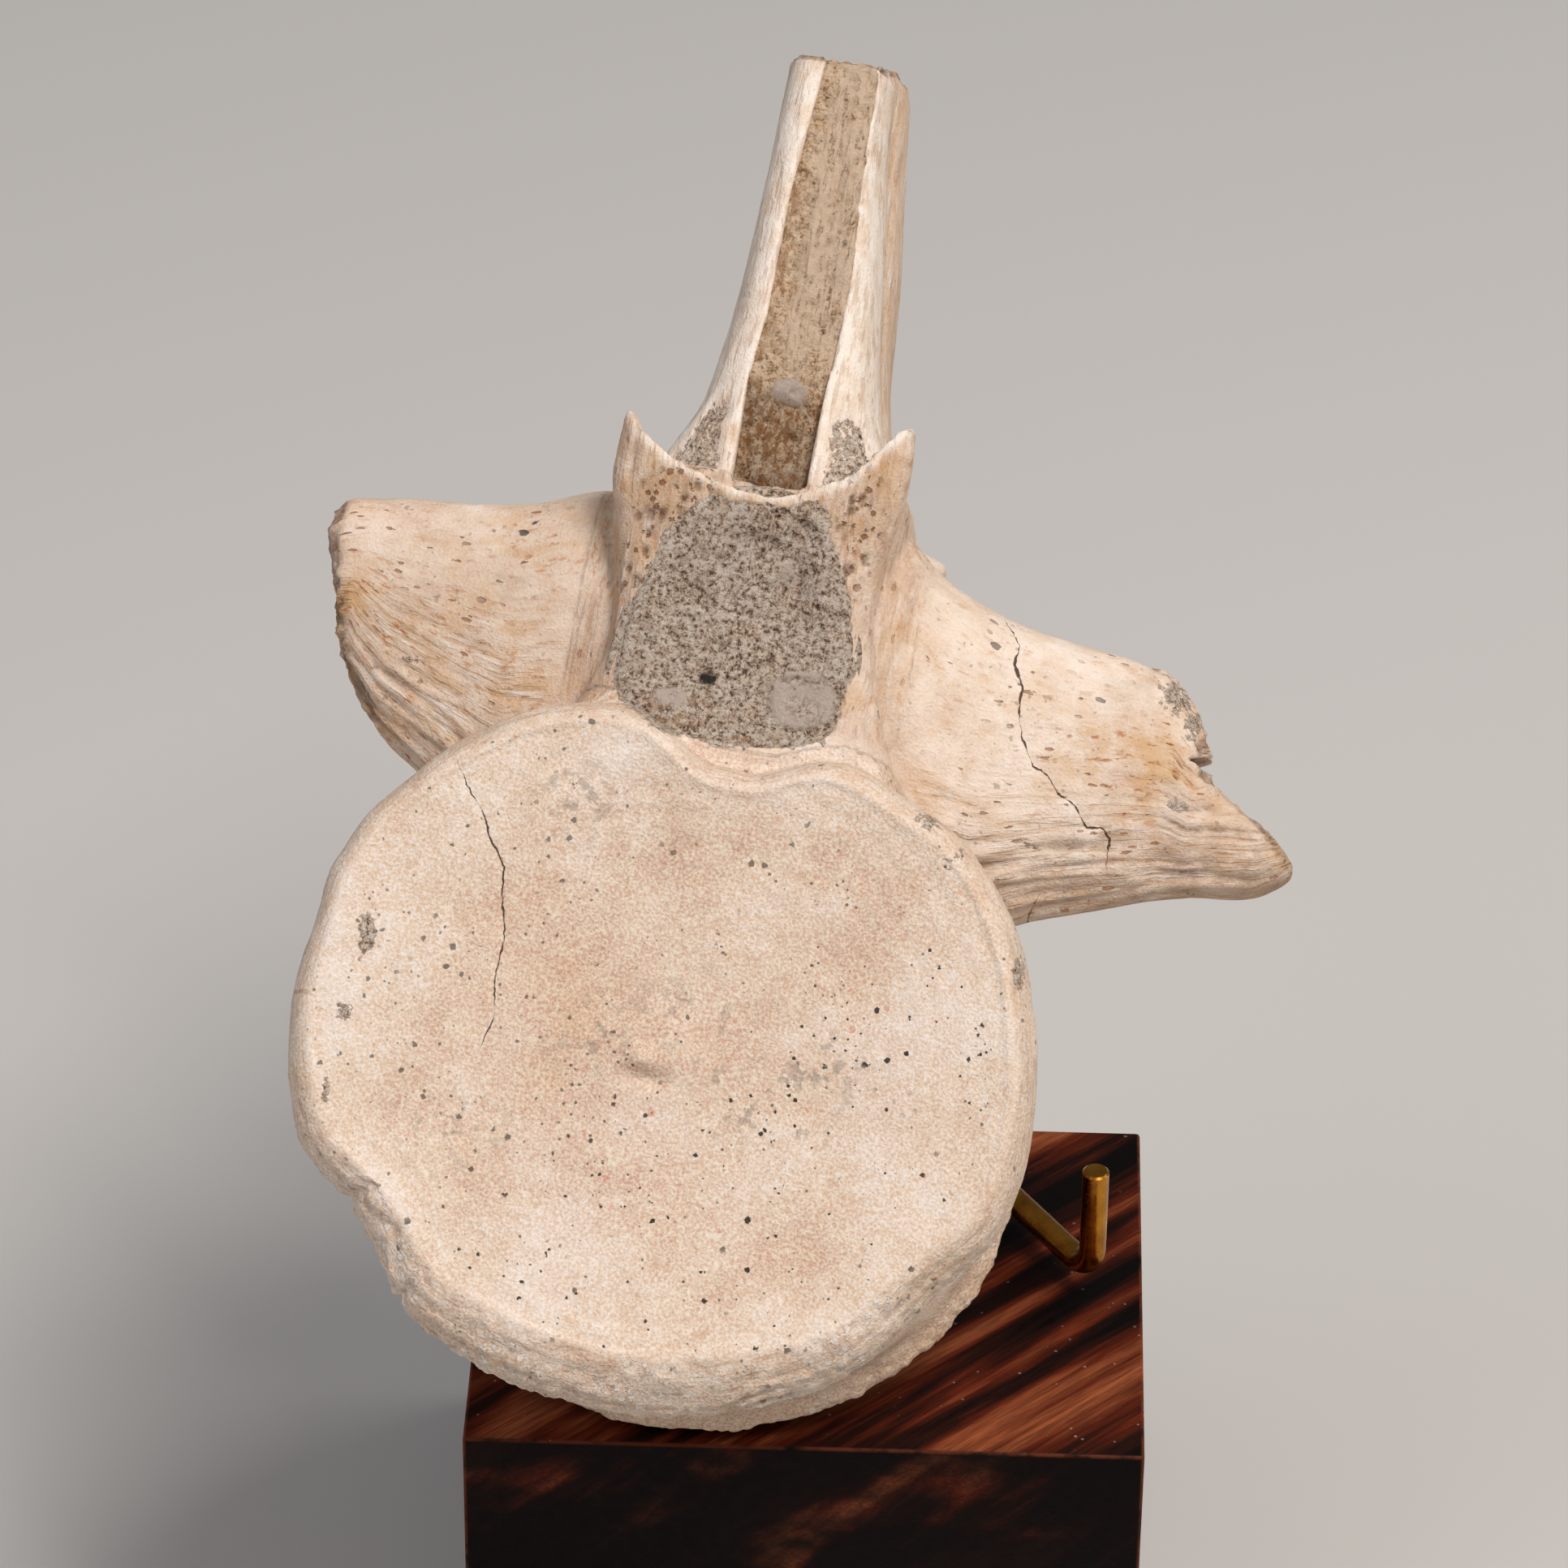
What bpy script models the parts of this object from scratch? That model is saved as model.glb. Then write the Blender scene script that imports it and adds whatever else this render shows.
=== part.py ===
"""Fossil mosasaur vertebra, life size, on a wood block with two brass arms.

Units are metres with +Z up. The origin is the centre of the block's underside, and the block's front looks to -Y.
The bone is shaped in millimetres in a frame of its own: x to the viewer's right, y from the front disc to the
rear, z from the centrum up along the neural spine. Its origin is the centre of the front disc.
"""

import bpy
import numpy as np

MM = 0.001

# Block and brass arms
BLOCK_WIDTH = 80.0
BLOCK_DEPTH = 62.0
BLOCK_HEIGHT = 45.0
BLOCK_BEVEL = 0.8
HOLE_DIAMETER = 3.8
HOLE_DEPTH = 12.6
HOLE_SIDES = 20
ROD_DIAMETER = 3.2
# Extra sides that Blender gives each quarter of a rod
ROD_ROUNDNESS = 2
ARM_BEND = (33.71, -2.76, 50.0)
ARM_BACK = (15.2, 23.8, 50.0)
RIGHT_TIP_HEIGHT = 15.3
LEFT_TIP_HEIGHT = 6.7
LEG_DEPTH = 12.0
BEND_RADIUS = 3.6
PROP_PLACE = (-10.0, 9.0)
PROP_HEIGHT = 66.0

# Where the bone sits: centre of its front disc, dip of its axis, turn about the vertical and roll
DISC_CENTRE = (-15.14, -53.17, 119.42)
AXIS_DIP = 41.67
AXIS_TURN = 2.72
AXIS_ROLL = 6.5

# Centrum
FACE_HALF_WIDTH = 41.2
FACE_HALF_HEIGHT = 38.9
FACE_DISH = 3.0
FACE_BOSS = 1.0
FACE_BOSS_SPREAD = 0.12
REAR_HALF_WIDTH = 40.3
REAR_HALF_HEIGHT = 39.4
REAR_RIM_Y = 67.0
CONDYLE_HEIGHT = 13.5
WAIST_DEPTH = 9.5
WAIST_EXTRA_BELOW = 1.5
LIP_BAND = 2.2
LIP_BAND_BELOW = 3.4
CENTRUM_SIDES = 120
# Parts of the way out from the centre at which the face and the condyle have a ring
FACE_STEPS = (0.02, 0.08, 0.2, 0.4, 0.6, 0.8, 0.92, 1.0)
CONDYLE_STEPS = (0.96, 0.88, 0.76, 0.6, 0.42, 0.22, 0.03)
# Each is a y and the part of the lip band by which the ring stays inside the rim
LIP_STEPS = ((1.6, 0.35), (3.6, 0.05), (5.6, 0.0), (8.5, 0.6))
SPOOL_START_Y = 8.5
SPOOL_STEPS = (13.0, 19.0, 25.0, 31.0, 38.0, 45.0, 52.0, 58.0, 62.5)
# Each is a y past the rear rim and how far the ring stays inside the rim
REAR_RIM_STEPS = ((-2.0, 0.0), (0.0, 0.4), (1.4, 2.6))
REAR_RIM_DIPS = ((90.0, 5.0, 22.0), (-2.0, 1.6, 20.0))
# Each is an angle in degrees from the viewer's right, a depth and a half width in degrees
RIM_DIPS = (
    (87.0, 6.6, 14.0),
    (62.0, 1.2, 12.0),
    (131.0, -1.7, 20.0),
    (156.0, -1.5, 10.0),
    (-170.0, -0.5, 22.0),
    (-142.0, 2.4, 11.0),
    (-33.0, 1.5, 10.0),
    (8.0, 0.8, 16.0),
)

# Neural arch
CANAL_HALF_WIDTH = 11.9
CANAL_CENTRE_Z = 47.6
CANAL_HALF_HEIGHT = 13.8
CANAL_TAPER = 0.07
CANAL_FRONT_Y = 7.5
CANAL_FILL_END_Y = 45.0
CANAL_CUT = (-6.0, 60.0)
SCOOP_REAR_Y = 15.5
SCOOP_TOP = 90.0
# The lower edge of the hollow between the horns, as x and z
SCOOP_EDGE = (
    (-20.0, 74.0),
    (-16.1, 69.3),
    (-13.7, 67.1),
    (-10.2, 65.1),
    (-4.6, 63.3),
    (0.8, 62.9),
    (5.7, 64.9),
    (8.7, 66.7),
    (10.5, 68.7),
    (13.2, 72.2),
    (17.0, 76.0),
)
# Each is a height, the left and right x, the front y and the rear y
ARCH_LEVELS = (
    (24.0, -25.0, 25.0, 8.0, 52.0),
    (33.0, -21.5, 21.5, 4.2, 52.0),
    (37.5, -18.0, 18.0, 4.6, 50.0),
    (42.0, -15.6, 15.6, 6.0, 47.5),
    (48.0, -15.0, 14.4, 7.0, 46.0),
    (54.0, -15.9, 13.9, 7.2, 47.0),
    (60.0, -17.2, 14.8, 6.4, 50.0),
    (64.5, -17.0, 15.2, 6.2, 52.0),
    (66.5, -16.0, 15.0, 7.4, 50.0),
)
HORN_LEVELS = (
    (34.0, -19.0, 19.5, 4.6, 26.0),
    (42.0, -15.6, 16.0, 5.6, 26.0),
    (50.0, -15.4, 14.2, 6.4, 26.0),
    (57.0, -16.6, 13.6, 6.0, 25.0),
    (63.0, -17.6, 14.5, 5.0, 20.0),
    (67.0, -17.2, 14.9, 4.6, 14.0),
    (70.0, -16.9, 15.0, 4.8, 10.5),
    (73.0, -16.6, 14.8, 5.0, 8.5),
)
# Each is a height, the left and right x, the front y and the rear y
SPINE_LEVELS = (
    (61.5, -16.5, 16.0, 20.0, 58.0),
    (66.0, -15.4, 14.4, 17.0, 57.0),
    (70.0, -13.5, 12.2, 17.2, 56.0),
    (75.0, -11.2, 9.8, 18.0, 55.0),
    (82.0, -9.9, 8.2, 19.4, 54.5),
    (92.0, -9.1, 6.7, 21.3, 55.0),
    (104.0, -8.6, 5.2, 23.6, 56.5),
    (113.0, -8.5, 4.2, 25.2, 57.0),
    (117.7, -8.5, 3.9, 26.2, 57.0),
)
# The wider rear half of the spine
SPINE_REAR_LEVELS = (
    (66.0, -10.0, 13.0, 32.0, 57.0),
    (75.0, -8.5, 10.4, 32.0, 56.0),
    (84.0, -7.5, 8.6, 33.0, 55.5),
    (96.0, -7.0, 7.5, 33.5, 56.5),
    (108.0, -6.8, 6.0, 34.5, 57.0),
    (119.2, -6.6, 4.7, 35.5, 57.0),
)
GROOVE_DEPTH = 5.0
GROOVE_RECESS = 0.9
GROOVE_CORNER = 0.18
# Heights from which and to which the channel is cut and filled
GROOVE_CUT = (64.0, 124.0)
GROOVE_FILL = (64.4, 116.6)
CUT_PAST = 12.0
# Each is a height, the left x and the right x
GROOVE_LEVELS = (
    (62.0, -5.2, 3.0),
    (77.0, -5.6, 3.3),
    (86.0, -4.8, 3.7),
    (94.0, -4.8, 3.4),
    (101.0, -4.9, 2.8),
    (108.0, -4.4, 2.5),
    (116.0, -3.7, 2.1),
    (124.0, -3.4, 2.0),
)
# Each is a distance from the midline, the top and bottom z, the front y and the rear y
LEFT_PROCESS = (
    (13.5, 63.0, 24.0, 8.0, 44.0),
    (19.5, 63.4, 22.0, 9.5, 42.0),
    (26.5, 60.6, 22.5, 12.5, 36.0),
    (33.0, 59.2, 27.0, 15.0, 31.5),
    (40.3, 58.6, 31.9, 16.5, 29.5),
    (44.0, 58.0, 36.4, 17.0, 29.0),
    (46.6, 57.6, 42.0, 17.3, 28.5),
    (48.2, 57.0, 47.4, 17.8, 28.0),
    (49.6, 55.8, 51.6, 18.6, 27.0),
)
RIGHT_PROCESS = (
    (13.0, 65.4, 22.0, 8.0, 44.0),
    (16.5, 62.6, 20.0, 9.0, 43.0),
    (20.5, 59.4, 19.0, 10.5, 41.0),
    (27.9, 56.1, 19.6, 13.0, 35.0),
    (36.0, 54.5, 23.2, 15.0, 31.5),
    (44.0, 53.7, 25.9, 16.0, 29.5),
    (48.6, 52.4, 27.6, 16.6, 29.0),
    (52.0, 47.6, 28.5, 17.0, 28.6),
    (54.0, 41.4, 28.9, 17.4, 28.0),
    (59.6, 37.9, 29.6, 18.0, 27.4),
    (64.1, 34.6, 31.8, 19.4, 25.6),
)
# Each is a distance from the midline, the top and bottom z, the front y and the rear y
REAR_ZYGAPOPHYSIS = (
    (2.0, 68.0, 60.5, 44.0, 58.0),
    (9.0, 67.5, 60.0, 46.0, 63.0),
    (14.5, 66.8, 61.6, 49.5, 65.0),
    (18.0, 65.8, 63.4, 54.0, 62.5),
)

# Fills of rock, set this far inside the bone
FILL_GAP = 0.35
FILL_RECESS = 0.6
FILL_ROUNDING = 1.0

VOXEL_SIZE = 1.25
BONE_TRIANGLES = 9600
# Faces that meet at more than this angle keep a sharp edge
SHARP_ANGLE = 40.0


def clear_scene():
    for obj in list(bpy.data.objects):
        bpy.data.objects.remove(obj, do_unlink=True)


def material(name, colour, roughness, metallic=0.0):
    """A plain Principled material."""
    made = bpy.data.materials.new(name)
    made.use_nodes = True
    shader = made.node_tree.nodes["Principled BSDF"]
    shader.inputs["Base Color"].default_value = (*colour, 1.0)
    shader.inputs["Roughness"].default_value = roughness
    shader.inputs["Metallic"].default_value = metallic
    return made


def make_object(name, points, faces, surface=None, helper=False):
    """A mesh object from points in metres."""
    mesh = bpy.data.meshes.new(name)
    mesh.from_pydata(np.asarray(points).tolist(), [], [list(face) for face in faces])
    mesh.validate()
    obj = bpy.data.objects.new(name, mesh)
    bpy.context.scene.collection.objects.link(obj)
    if surface is not None:
        mesh.materials.append(surface)
    if helper:
        obj.hide_render = True
        obj.display_type = "WIRE"
    return obj


def bone_to_world(points):
    """Bone millimetres to world metres."""
    dip, turn, roll = np.radians((AXIS_DIP, AXIS_TURN, AXIS_ROLL))
    rear = np.array((np.sin(turn) * np.cos(dip), np.cos(turn) * np.cos(dip), -np.sin(dip)))
    level = np.cross(rear, (0.0, 0.0, 1.0))
    level = level / np.linalg.norm(level)
    lift = np.cross(level, rear)
    right = np.cos(roll) * level - np.sin(roll) * lift
    dorsal = np.sin(roll) * level + np.cos(roll) * lift
    return (np.array(DISC_CENTRE) + np.asarray(points) @ np.array((right, rear, dorsal))) * MM


def ring_faces(ring_count, ring_size):
    """Quads between the rings of a loft, with a fan's centre at each end."""
    faces = []
    for ring in range(ring_count - 1):
        for side in range(ring_size):
            after = (side + 1) % ring_size
            low = ring * ring_size
            high = low + ring_size
            faces.append((low + side, low + after, high + after, high + side))
    first = ring_count * ring_size
    last = first + 1
    top = (ring_count - 1) * ring_size
    for side in range(ring_size):
        after = (side + 1) % ring_size
        faces.append((first, after, side))
        faces.append((last, top + side, top + after))
    return faces


def volume_of(points, faces):
    """Signed volume, to tell which way the faces look."""
    total = 0.0
    for face in faces:
        for index in range(1, len(face) - 1):
            total += np.linalg.det(points[[face[0], face[index], face[index + 1]]])
    return total / 6.0


def loft(name, rings, surface=None, helper=False):
    """A closed solid through rings of points, capped at both ends."""
    rings = np.asarray(rings, float)
    points = bone_to_world(np.vstack((rings.reshape(-1, 3), rings[0].mean(0), rings[-1].mean(0))))
    faces = ring_faces(len(rings), rings.shape[1])
    if volume_of(points, faces) < 0.0:
        faces = [face[::-1] for face in faces]
    return make_object(name, points, faces, surface, helper)


def smooth_levels(levels, count):
    """Stations between the given ones, on curves without kinks."""
    table = np.array(levels, float)
    along = np.linspace(0.0, len(table) - 1.0, count)
    found = []
    for place in along:
        index = min(int(place), len(table) - 2)
        part = place - index
        before = table[max(index - 1, 0)]
        start = table[index]
        end = table[index + 1]
        after = table[min(index + 2, len(table) - 1)]
        slope_in = (end - before) / 2.0
        slope_out = (after - start) / 2.0
        square = part * part
        cube = square * part
        found.append(
            (2.0 * cube - 3.0 * square + 1.0) * start
            + (cube - 2.0 * square + part) * slope_in
            + (3.0 * square - 2.0 * cube) * end
            + (cube - square) * slope_out
        )
    return np.array(found)


def rounded_ring(count, power):
    """A superellipse of half width one, from an ellipse at power 2 towards a square."""
    angles = np.linspace(0.0, 2.0 * np.pi, count, endpoint=False)
    cosine = np.cos(angles)
    sine = np.sin(angles)
    return np.stack(
        (
            np.sign(cosine) * np.abs(cosine) ** (2.0 / power),
            np.sign(sine) * np.abs(sine) ** (2.0 / power),
        ),
        axis=1,
    )


def upright_lobe(name, levels, power, count=14, sides=28):
    """A loft up along z, from levels of (z, one x, other x, front y, rear y)."""
    shape = rounded_ring(sides, power)
    rings = []
    for height, left, right, front, rear in smooth_levels(levels, count):
        x = (left + right) / 2.0 + shape[:, 0] * (right - left) / 2.0
        y = (front + rear) / 2.0 + shape[:, 1] * (rear - front) / 2.0
        rings.append(np.stack((x, y, np.full(sides, height)), axis=1))
    return loft(name, rings)


def side_lobe(name, levels, direction, power, count=18, sides=28):
    """A loft out along x, from levels of (x, top z, bottom z, front y, rear y)."""
    shape = rounded_ring(sides, power)
    rings = []
    for out, top, bottom, front, rear in smooth_levels(levels, count):
        y = (front + rear) / 2.0 + shape[:, 0] * (rear - front) / 2.0
        z = (top + bottom) / 2.0 + shape[:, 1] * (top - bottom) / 2.0
        rings.append(np.stack((np.full(sides, direction * out), y, z), axis=1))
    return loft(name, rings)


def rim_radius(angles, half_width, half_height, dips):
    """Radius of a rim at angles in degrees: an ellipse less its dips."""
    turned = np.radians(angles)
    radius = 1.0 / np.sqrt((np.cos(turned) / half_width) ** 2 + (np.sin(turned) / half_height) ** 2)
    for centre, depth, half in dips:
        away = (angles - centre + 180.0) % 360.0 - 180.0
        radius = radius - depth * np.exp(-np.abs(away / half) ** 3)
    return radius


def centrum():
    """The spool with its dished front disc, lipped rims, waist and domed rear."""
    angles = np.linspace(0.0, 360.0, CENTRUM_SIDES, endpoint=False)
    turned = np.radians(angles)
    front = rim_radius(angles, FACE_HALF_WIDTH, FACE_HALF_HEIGHT, RIM_DIPS)
    rear = rim_radius(angles, REAR_HALF_WIDTH, REAR_HALF_HEIGHT, REAR_RIM_DIPS)
    under = np.clip(-np.sin(turned), 0.0, 1.0) ** 1.5
    band = LIP_BAND + LIP_BAND_BELOW * under
    waist = WAIST_DEPTH + WAIST_EXTRA_BELOW * under
    outlines = []
    for part in FACE_STEPS:
        dish = FACE_DISH * (1.0 - part ** 2)
        boss = FACE_BOSS * np.exp(-((part / FACE_BOSS_SPREAD) ** 2))
        outlines.append(((front - band) * part, dish - boss))
    for y, inward in LIP_STEPS:
        outlines.append((front - band * inward, y))
    for y in SPOOL_STEPS:
        blend = (y - SPOOL_START_Y) / (REAR_RIM_Y - SPOOL_START_Y)
        straight = front * (1.0 - blend) + rear * blend
        outlines.append((straight - waist * np.sin(np.pi * blend) ** 1.1, y))
    for past, inward in REAR_RIM_STEPS:
        outlines.append((rear - inward, REAR_RIM_Y + past))
    last_past, last_inward = REAR_RIM_STEPS[-1]
    for part in CONDYLE_STEPS:
        y = REAR_RIM_Y + last_past + (CONDYLE_HEIGHT - last_past) * np.sqrt(1.0 - part ** 2)
        outlines.append(((rear - last_inward) * part, y))
    rings = [
        np.stack((radius * np.cos(turned), np.full(len(angles), y), radius * np.sin(turned)), axis=1)
        for radius, y in outlines
    ]
    return loft("lobe_centrum", rings)


def canal_ring(y, gap):
    """The neural canal's outline at one y, set in by a gap."""
    shape = rounded_ring(36, 3.6)
    z = CANAL_CENTRE_Z + shape[:, 1] * (CANAL_HALF_HEIGHT - gap)
    half_width = CANAL_HALF_WIDTH - gap - CANAL_TAPER * (z - CANAL_CENTRE_Z)
    return np.stack((shape[:, 0] * half_width, np.full(len(shape), y), z), axis=1)


def groove_rings(gap, front_offset, bottom, top):
    """The channel down the front of the spine, as rings up along z."""
    table = np.array(GROOVE_LEVELS)
    spine = np.array(SPINE_LEVELS)
    rings = []
    for z in np.linspace(bottom, top, 12):
        left = np.interp(z, table[:, 0], table[:, 1]) + gap
        right = np.interp(z, table[:, 0], table[:, 2]) - gap
        face = np.interp(z, spine[:, 0], spine[:, 3])
        front = face + front_offset
        back = face + GROOVE_DEPTH - gap
        soft = (right - left) * GROOVE_CORNER
        rings.append(
            (
                (left, front, z),
                (left, back - soft, z),
                (left + soft, back, z),
                (right - soft, back, z),
                (right, back - soft, z),
                (right, front, z),
            )
        )
    return rings


def scoop():
    """The bar that hollows the front edge of the arch between its horns."""
    edge = smooth_levels(SCOOP_EDGE, 41)
    outline = np.vstack((edge, (edge[-1, 0], SCOOP_TOP), (edge[0, 0], SCOOP_TOP)))
    rings = [np.insert(outline, 1, y, axis=1) for y in (-CUT_PAST, SCOOP_REAR_Y)]
    return loft("cutter_scoop", rings, helper=True)


def cut(obj, cutter):
    """Take a cutter out of an object and keep the result as its mesh."""
    modifier = obj.modifiers.new("cut", "BOOLEAN")
    modifier.operation = "DIFFERENCE"
    modifier.solver = "EXACT"
    modifier.object = cutter
    apply_modifiers(obj)


def apply_modifiers(obj):
    """Replace an object's mesh by its evaluated one."""
    graph = bpy.context.evaluated_depsgraph_get()
    mesh = bpy.data.meshes.new_from_object(obj.evaluated_get(graph))
    obj.modifiers.clear()
    obj.data = mesh


def join(name, parts, surface):
    """One mesh that holds the parts as loose shells."""
    points = []
    faces = []
    for part in parts:
        start = len(points)
        points.extend(tuple(vertex.co) for vertex in part.data.vertices)
        faces.extend([start + index for index in face.vertices] for face in part.data.polygons)
        bpy.data.objects.remove(part, do_unlink=True)
    return make_object(name, points, faces, surface)


def keep_largest(obj):
    """Keep only the largest closed surface of an object's mesh."""
    mesh = obj.data
    points = np.array([vertex.co for vertex in mesh.vertices])
    faces = [list(face.vertices) for face in mesh.polygons]
    group = np.arange(len(points))
    edges = np.array([edge.vertices for edge in mesh.edges])
    changed = True
    while changed:
        least = np.minimum(group[edges[:, 0]], group[edges[:, 1]])
        before = group.copy()
        np.minimum.at(group, edges[:, 0], least)
        np.minimum.at(group, edges[:, 1], least)
        group = group[group]
        changed = not np.array_equal(before, group)
    owner = np.array([group[face[0]] for face in faces])
    volumes = {
        number: volume_of(points, [face for face, own in zip(faces, owner) if own == number])
        for number in np.unique(owner)
    }
    largest = max(volumes, key=volumes.get)
    kept = np.flatnonzero(group == largest)
    place = {old: new for new, old in enumerate(kept)}
    left = bpy.data.meshes.new(mesh.name)
    left.from_pydata(
        points[kept].tolist(),
        [],
        [[place[index] for index in face] for face, own in zip(faces, owner) if own == largest],
    )
    for surface in mesh.materials:
        left.materials.append(surface)
    obj.data = left


def vertebra(surface):
    """The whole bone as one solid."""
    canal_cut = loft("cutter_canal", [canal_ring(y, 0.0) for y in CANAL_CUT], helper=True)
    groove_cut = loft("cutter_groove", groove_rings(0.0, -CUT_PAST, *GROOVE_CUT), helper=True)
    scoop_cut = scoop()
    arch = upright_lobe("lobe_arch", ARCH_LEVELS, 5.0, count=20, sides=40)
    horns = upright_lobe("lobe_horns", HORN_LEVELS, 5.0, count=20, sides=40)
    for form in (arch, horns):
        cut(form, canal_cut)
        cut(form, scoop_cut)
    spine = upright_lobe("lobe_spine", SPINE_LEVELS, 4.0, count=24, sides=32)
    cut(spine, groove_cut)
    parts = [
        centrum(),
        arch,
        horns,
        spine,
        upright_lobe("lobe_spine_rear", SPINE_REAR_LEVELS, 4.0, count=20, sides=28),
        side_lobe("lobe_process_left", LEFT_PROCESS, -1.0, 2.5),
        side_lobe("lobe_process_right", RIGHT_PROCESS, 1.0, 2.5),
        side_lobe("lobe_zygapophysis_left", REAR_ZYGAPOPHYSIS, -1.0, 2.3, count=10, sides=20),
        side_lobe("lobe_zygapophysis_right", REAR_ZYGAPOPHYSIS, 1.0, 2.3, count=10, sides=20),
    ]
    bone = join("vertebra", parts, surface)
    remesh = bone.modifiers.new("fuse", "REMESH")
    remesh.mode = "VOXEL"
    remesh.voxel_size = VOXEL_SIZE * MM
    smooth = bone.modifiers.new("soften", "SMOOTH")
    smooth.factor = 0.5
    smooth.iterations = 4
    apply_modifiers(bone)
    bone.data.calc_loop_triangles()
    decimate = bone.modifiers.new("thin", "DECIMATE")
    decimate.ratio = BONE_TRIANGLES / len(bone.data.loop_triangles)
    decimate.use_collapse_triangulate = True
    apply_modifiers(bone)
    cut(bone, canal_cut)
    cut(bone, groove_cut)
    for helper in (canal_cut, groove_cut, scoop_cut):
        bpy.data.objects.remove(helper, do_unlink=True)
    keep_largest(bone)
    bone.data.shade_smooth()
    bone.data.set_sharp_from_angle(angle=np.radians(SHARP_ANGLE))
    return bone


def canal_fill(surface):
    """Rock in the neural canal."""
    start = CANAL_FRONT_Y + FILL_RECESS
    stations = (
        (start, FILL_GAP + FILL_ROUNDING),
        (start + FILL_ROUNDING, FILL_GAP),
        (CANAL_FILL_END_Y - FILL_ROUNDING, FILL_GAP),
        (CANAL_FILL_END_Y, FILL_GAP + FILL_ROUNDING),
    )
    return loft("canal_matrix", [canal_ring(y, gap) for y, gap in stations], surface)


def groove_fill(surface):
    """Rock in the channel of the neural spine."""
    return loft("spine_matrix", groove_rings(FILL_GAP, GROOVE_RECESS, *GROOVE_FILL), surface)


def block(surface):
    """The wood block with softened edges and a drilled hole for each rod."""
    bpy.ops.mesh.primitive_cube_add(size=1.0, location=(0.0, 0.0, BLOCK_HEIGHT / 2.0 * MM))
    made = bpy.context.object
    made.name = "stand_block"
    made.data.name = "stand_block"
    made.scale = np.array((BLOCK_WIDTH, BLOCK_DEPTH, BLOCK_HEIGHT)) * MM
    bpy.ops.object.transform_apply(location=True, rotation=False, scale=True)
    made.data.materials.append(surface)
    edges = made.modifiers.new("softened edges", "BEVEL")
    edges.width = BLOCK_BEVEL * MM
    edges.segments = 1
    apply_modifiers(made)
    for x, y in ((-ARM_BACK[0], ARM_BACK[1]), (ARM_BACK[0], ARM_BACK[1]), PROP_PLACE):
        bpy.ops.mesh.primitive_cylinder_add(
            vertices=HOLE_SIDES,
            radius=HOLE_DIAMETER / 2.0 * MM,
            depth=2.0 * HOLE_DEPTH * MM,
            location=(x * MM, y * MM, BLOCK_HEIGHT * MM),
        )
        drill = bpy.context.object
        drill.hide_render = True
        drill.display_type = "WIRE"
        cut(made, drill)
        bpy.data.objects.remove(drill, do_unlink=True)
    return made


def rounded_path(corners, radius, steps):
    """A path through corners, each rounded to an arc."""
    corners = [np.array(corner, float) for corner in corners]
    path = [corners[0]]
    for before, corner, after in zip(corners, corners[1:], corners[2:]):
        into = (before - corner) / np.linalg.norm(before - corner)
        out = (after - corner) / np.linalg.norm(after - corner)
        half = np.arccos(np.clip(into @ out, -1.0, 1.0)) / 2.0
        middle = into + out
        centre = corner + middle / np.linalg.norm(middle) * radius / np.sin(half)
        start = corner + into * radius / np.tan(half) - centre
        end = corner + out * radius / np.tan(half) - centre
        sweep = np.pi - 2.0 * half
        for step in range(steps + 1):
            part = step / steps
            ends = np.sin((1.0 - part) * sweep) * start + np.sin(part * sweep) * end
            path.append(centre + ends / np.sin(sweep))
    path.append(corners[-1])
    return np.array(path)


def rod(name, path, surface):
    """A round rod along a path, cut square at both ends."""
    curve = bpy.data.curves.new(name, "CURVE")
    curve.dimensions = "3D"
    curve.bevel_depth = ROD_DIAMETER / 2.0 * MM
    curve.bevel_resolution = ROD_ROUNDNESS
    curve.use_fill_caps = True
    curve.materials.append(surface)
    line = curve.splines.new("POLY")
    line.use_smooth = True
    line.points.add(len(path) - 1)
    for point, place in zip(line.points, path):
        point.co = (*(place * MM), 1.0)
    made = bpy.data.objects.new(name, curve)
    bpy.context.scene.collection.objects.link(made)
    return made


def arm(name, side, tip_height, surface):
    """One brass arm: a leg in the block, a run forward under the condyle and an upturned tip."""
    flip = np.array((side, 1.0, 1.0))
    corners = (
        (ARM_BACK[0], ARM_BACK[1], BLOCK_HEIGHT - LEG_DEPTH),
        ARM_BACK,
        ARM_BEND,
        (ARM_BEND[0], ARM_BEND[1], ARM_BEND[2] + tip_height),
    )
    return rod(name, rounded_path([np.array(corner) * flip for corner in corners], BEND_RADIUS, 6), surface)


def main():
    clear_scene()
    vertebra(material("fossil_bone", (0.74, 0.63, 0.50), 0.75))
    canal_fill(material("canal_rock", (0.34, 0.28, 0.23), 0.9))
    groove_fill(material("spine_rock", (0.36, 0.27, 0.19), 0.9))
    block(material("walnut", (0.12, 0.045, 0.028), 0.4))
    brass = (0.72, 0.48, 0.18)
    arm("stand_arm_right", 1.0, RIGHT_TIP_HEIGHT, material("brass_right", brass, 0.25, 1.0))
    arm("stand_arm_left", -1.0, LEFT_TIP_HEIGHT, material("brass_left", brass, 0.25, 1.0))
    prop = [(*PROP_PLACE, z) for z in (BLOCK_HEIGHT - LEG_DEPTH, BLOCK_HEIGHT, PROP_HEIGHT)]
    rod("stand_prop", np.array(prop), material("brass_prop", brass, 0.25, 1.0))


main()
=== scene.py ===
"""The finished look of a fossil mosasaur vertebra on its wood block with brass rods.

The bone is shaped in millimetres in a frame of its own: x to the viewer's right, y from the front disc to the
rear, z from the centrum up along the neural spine. Its origin is the centre of the front disc. The stand is
shaped in millimetres in the frame of the whole part.
"""

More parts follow.
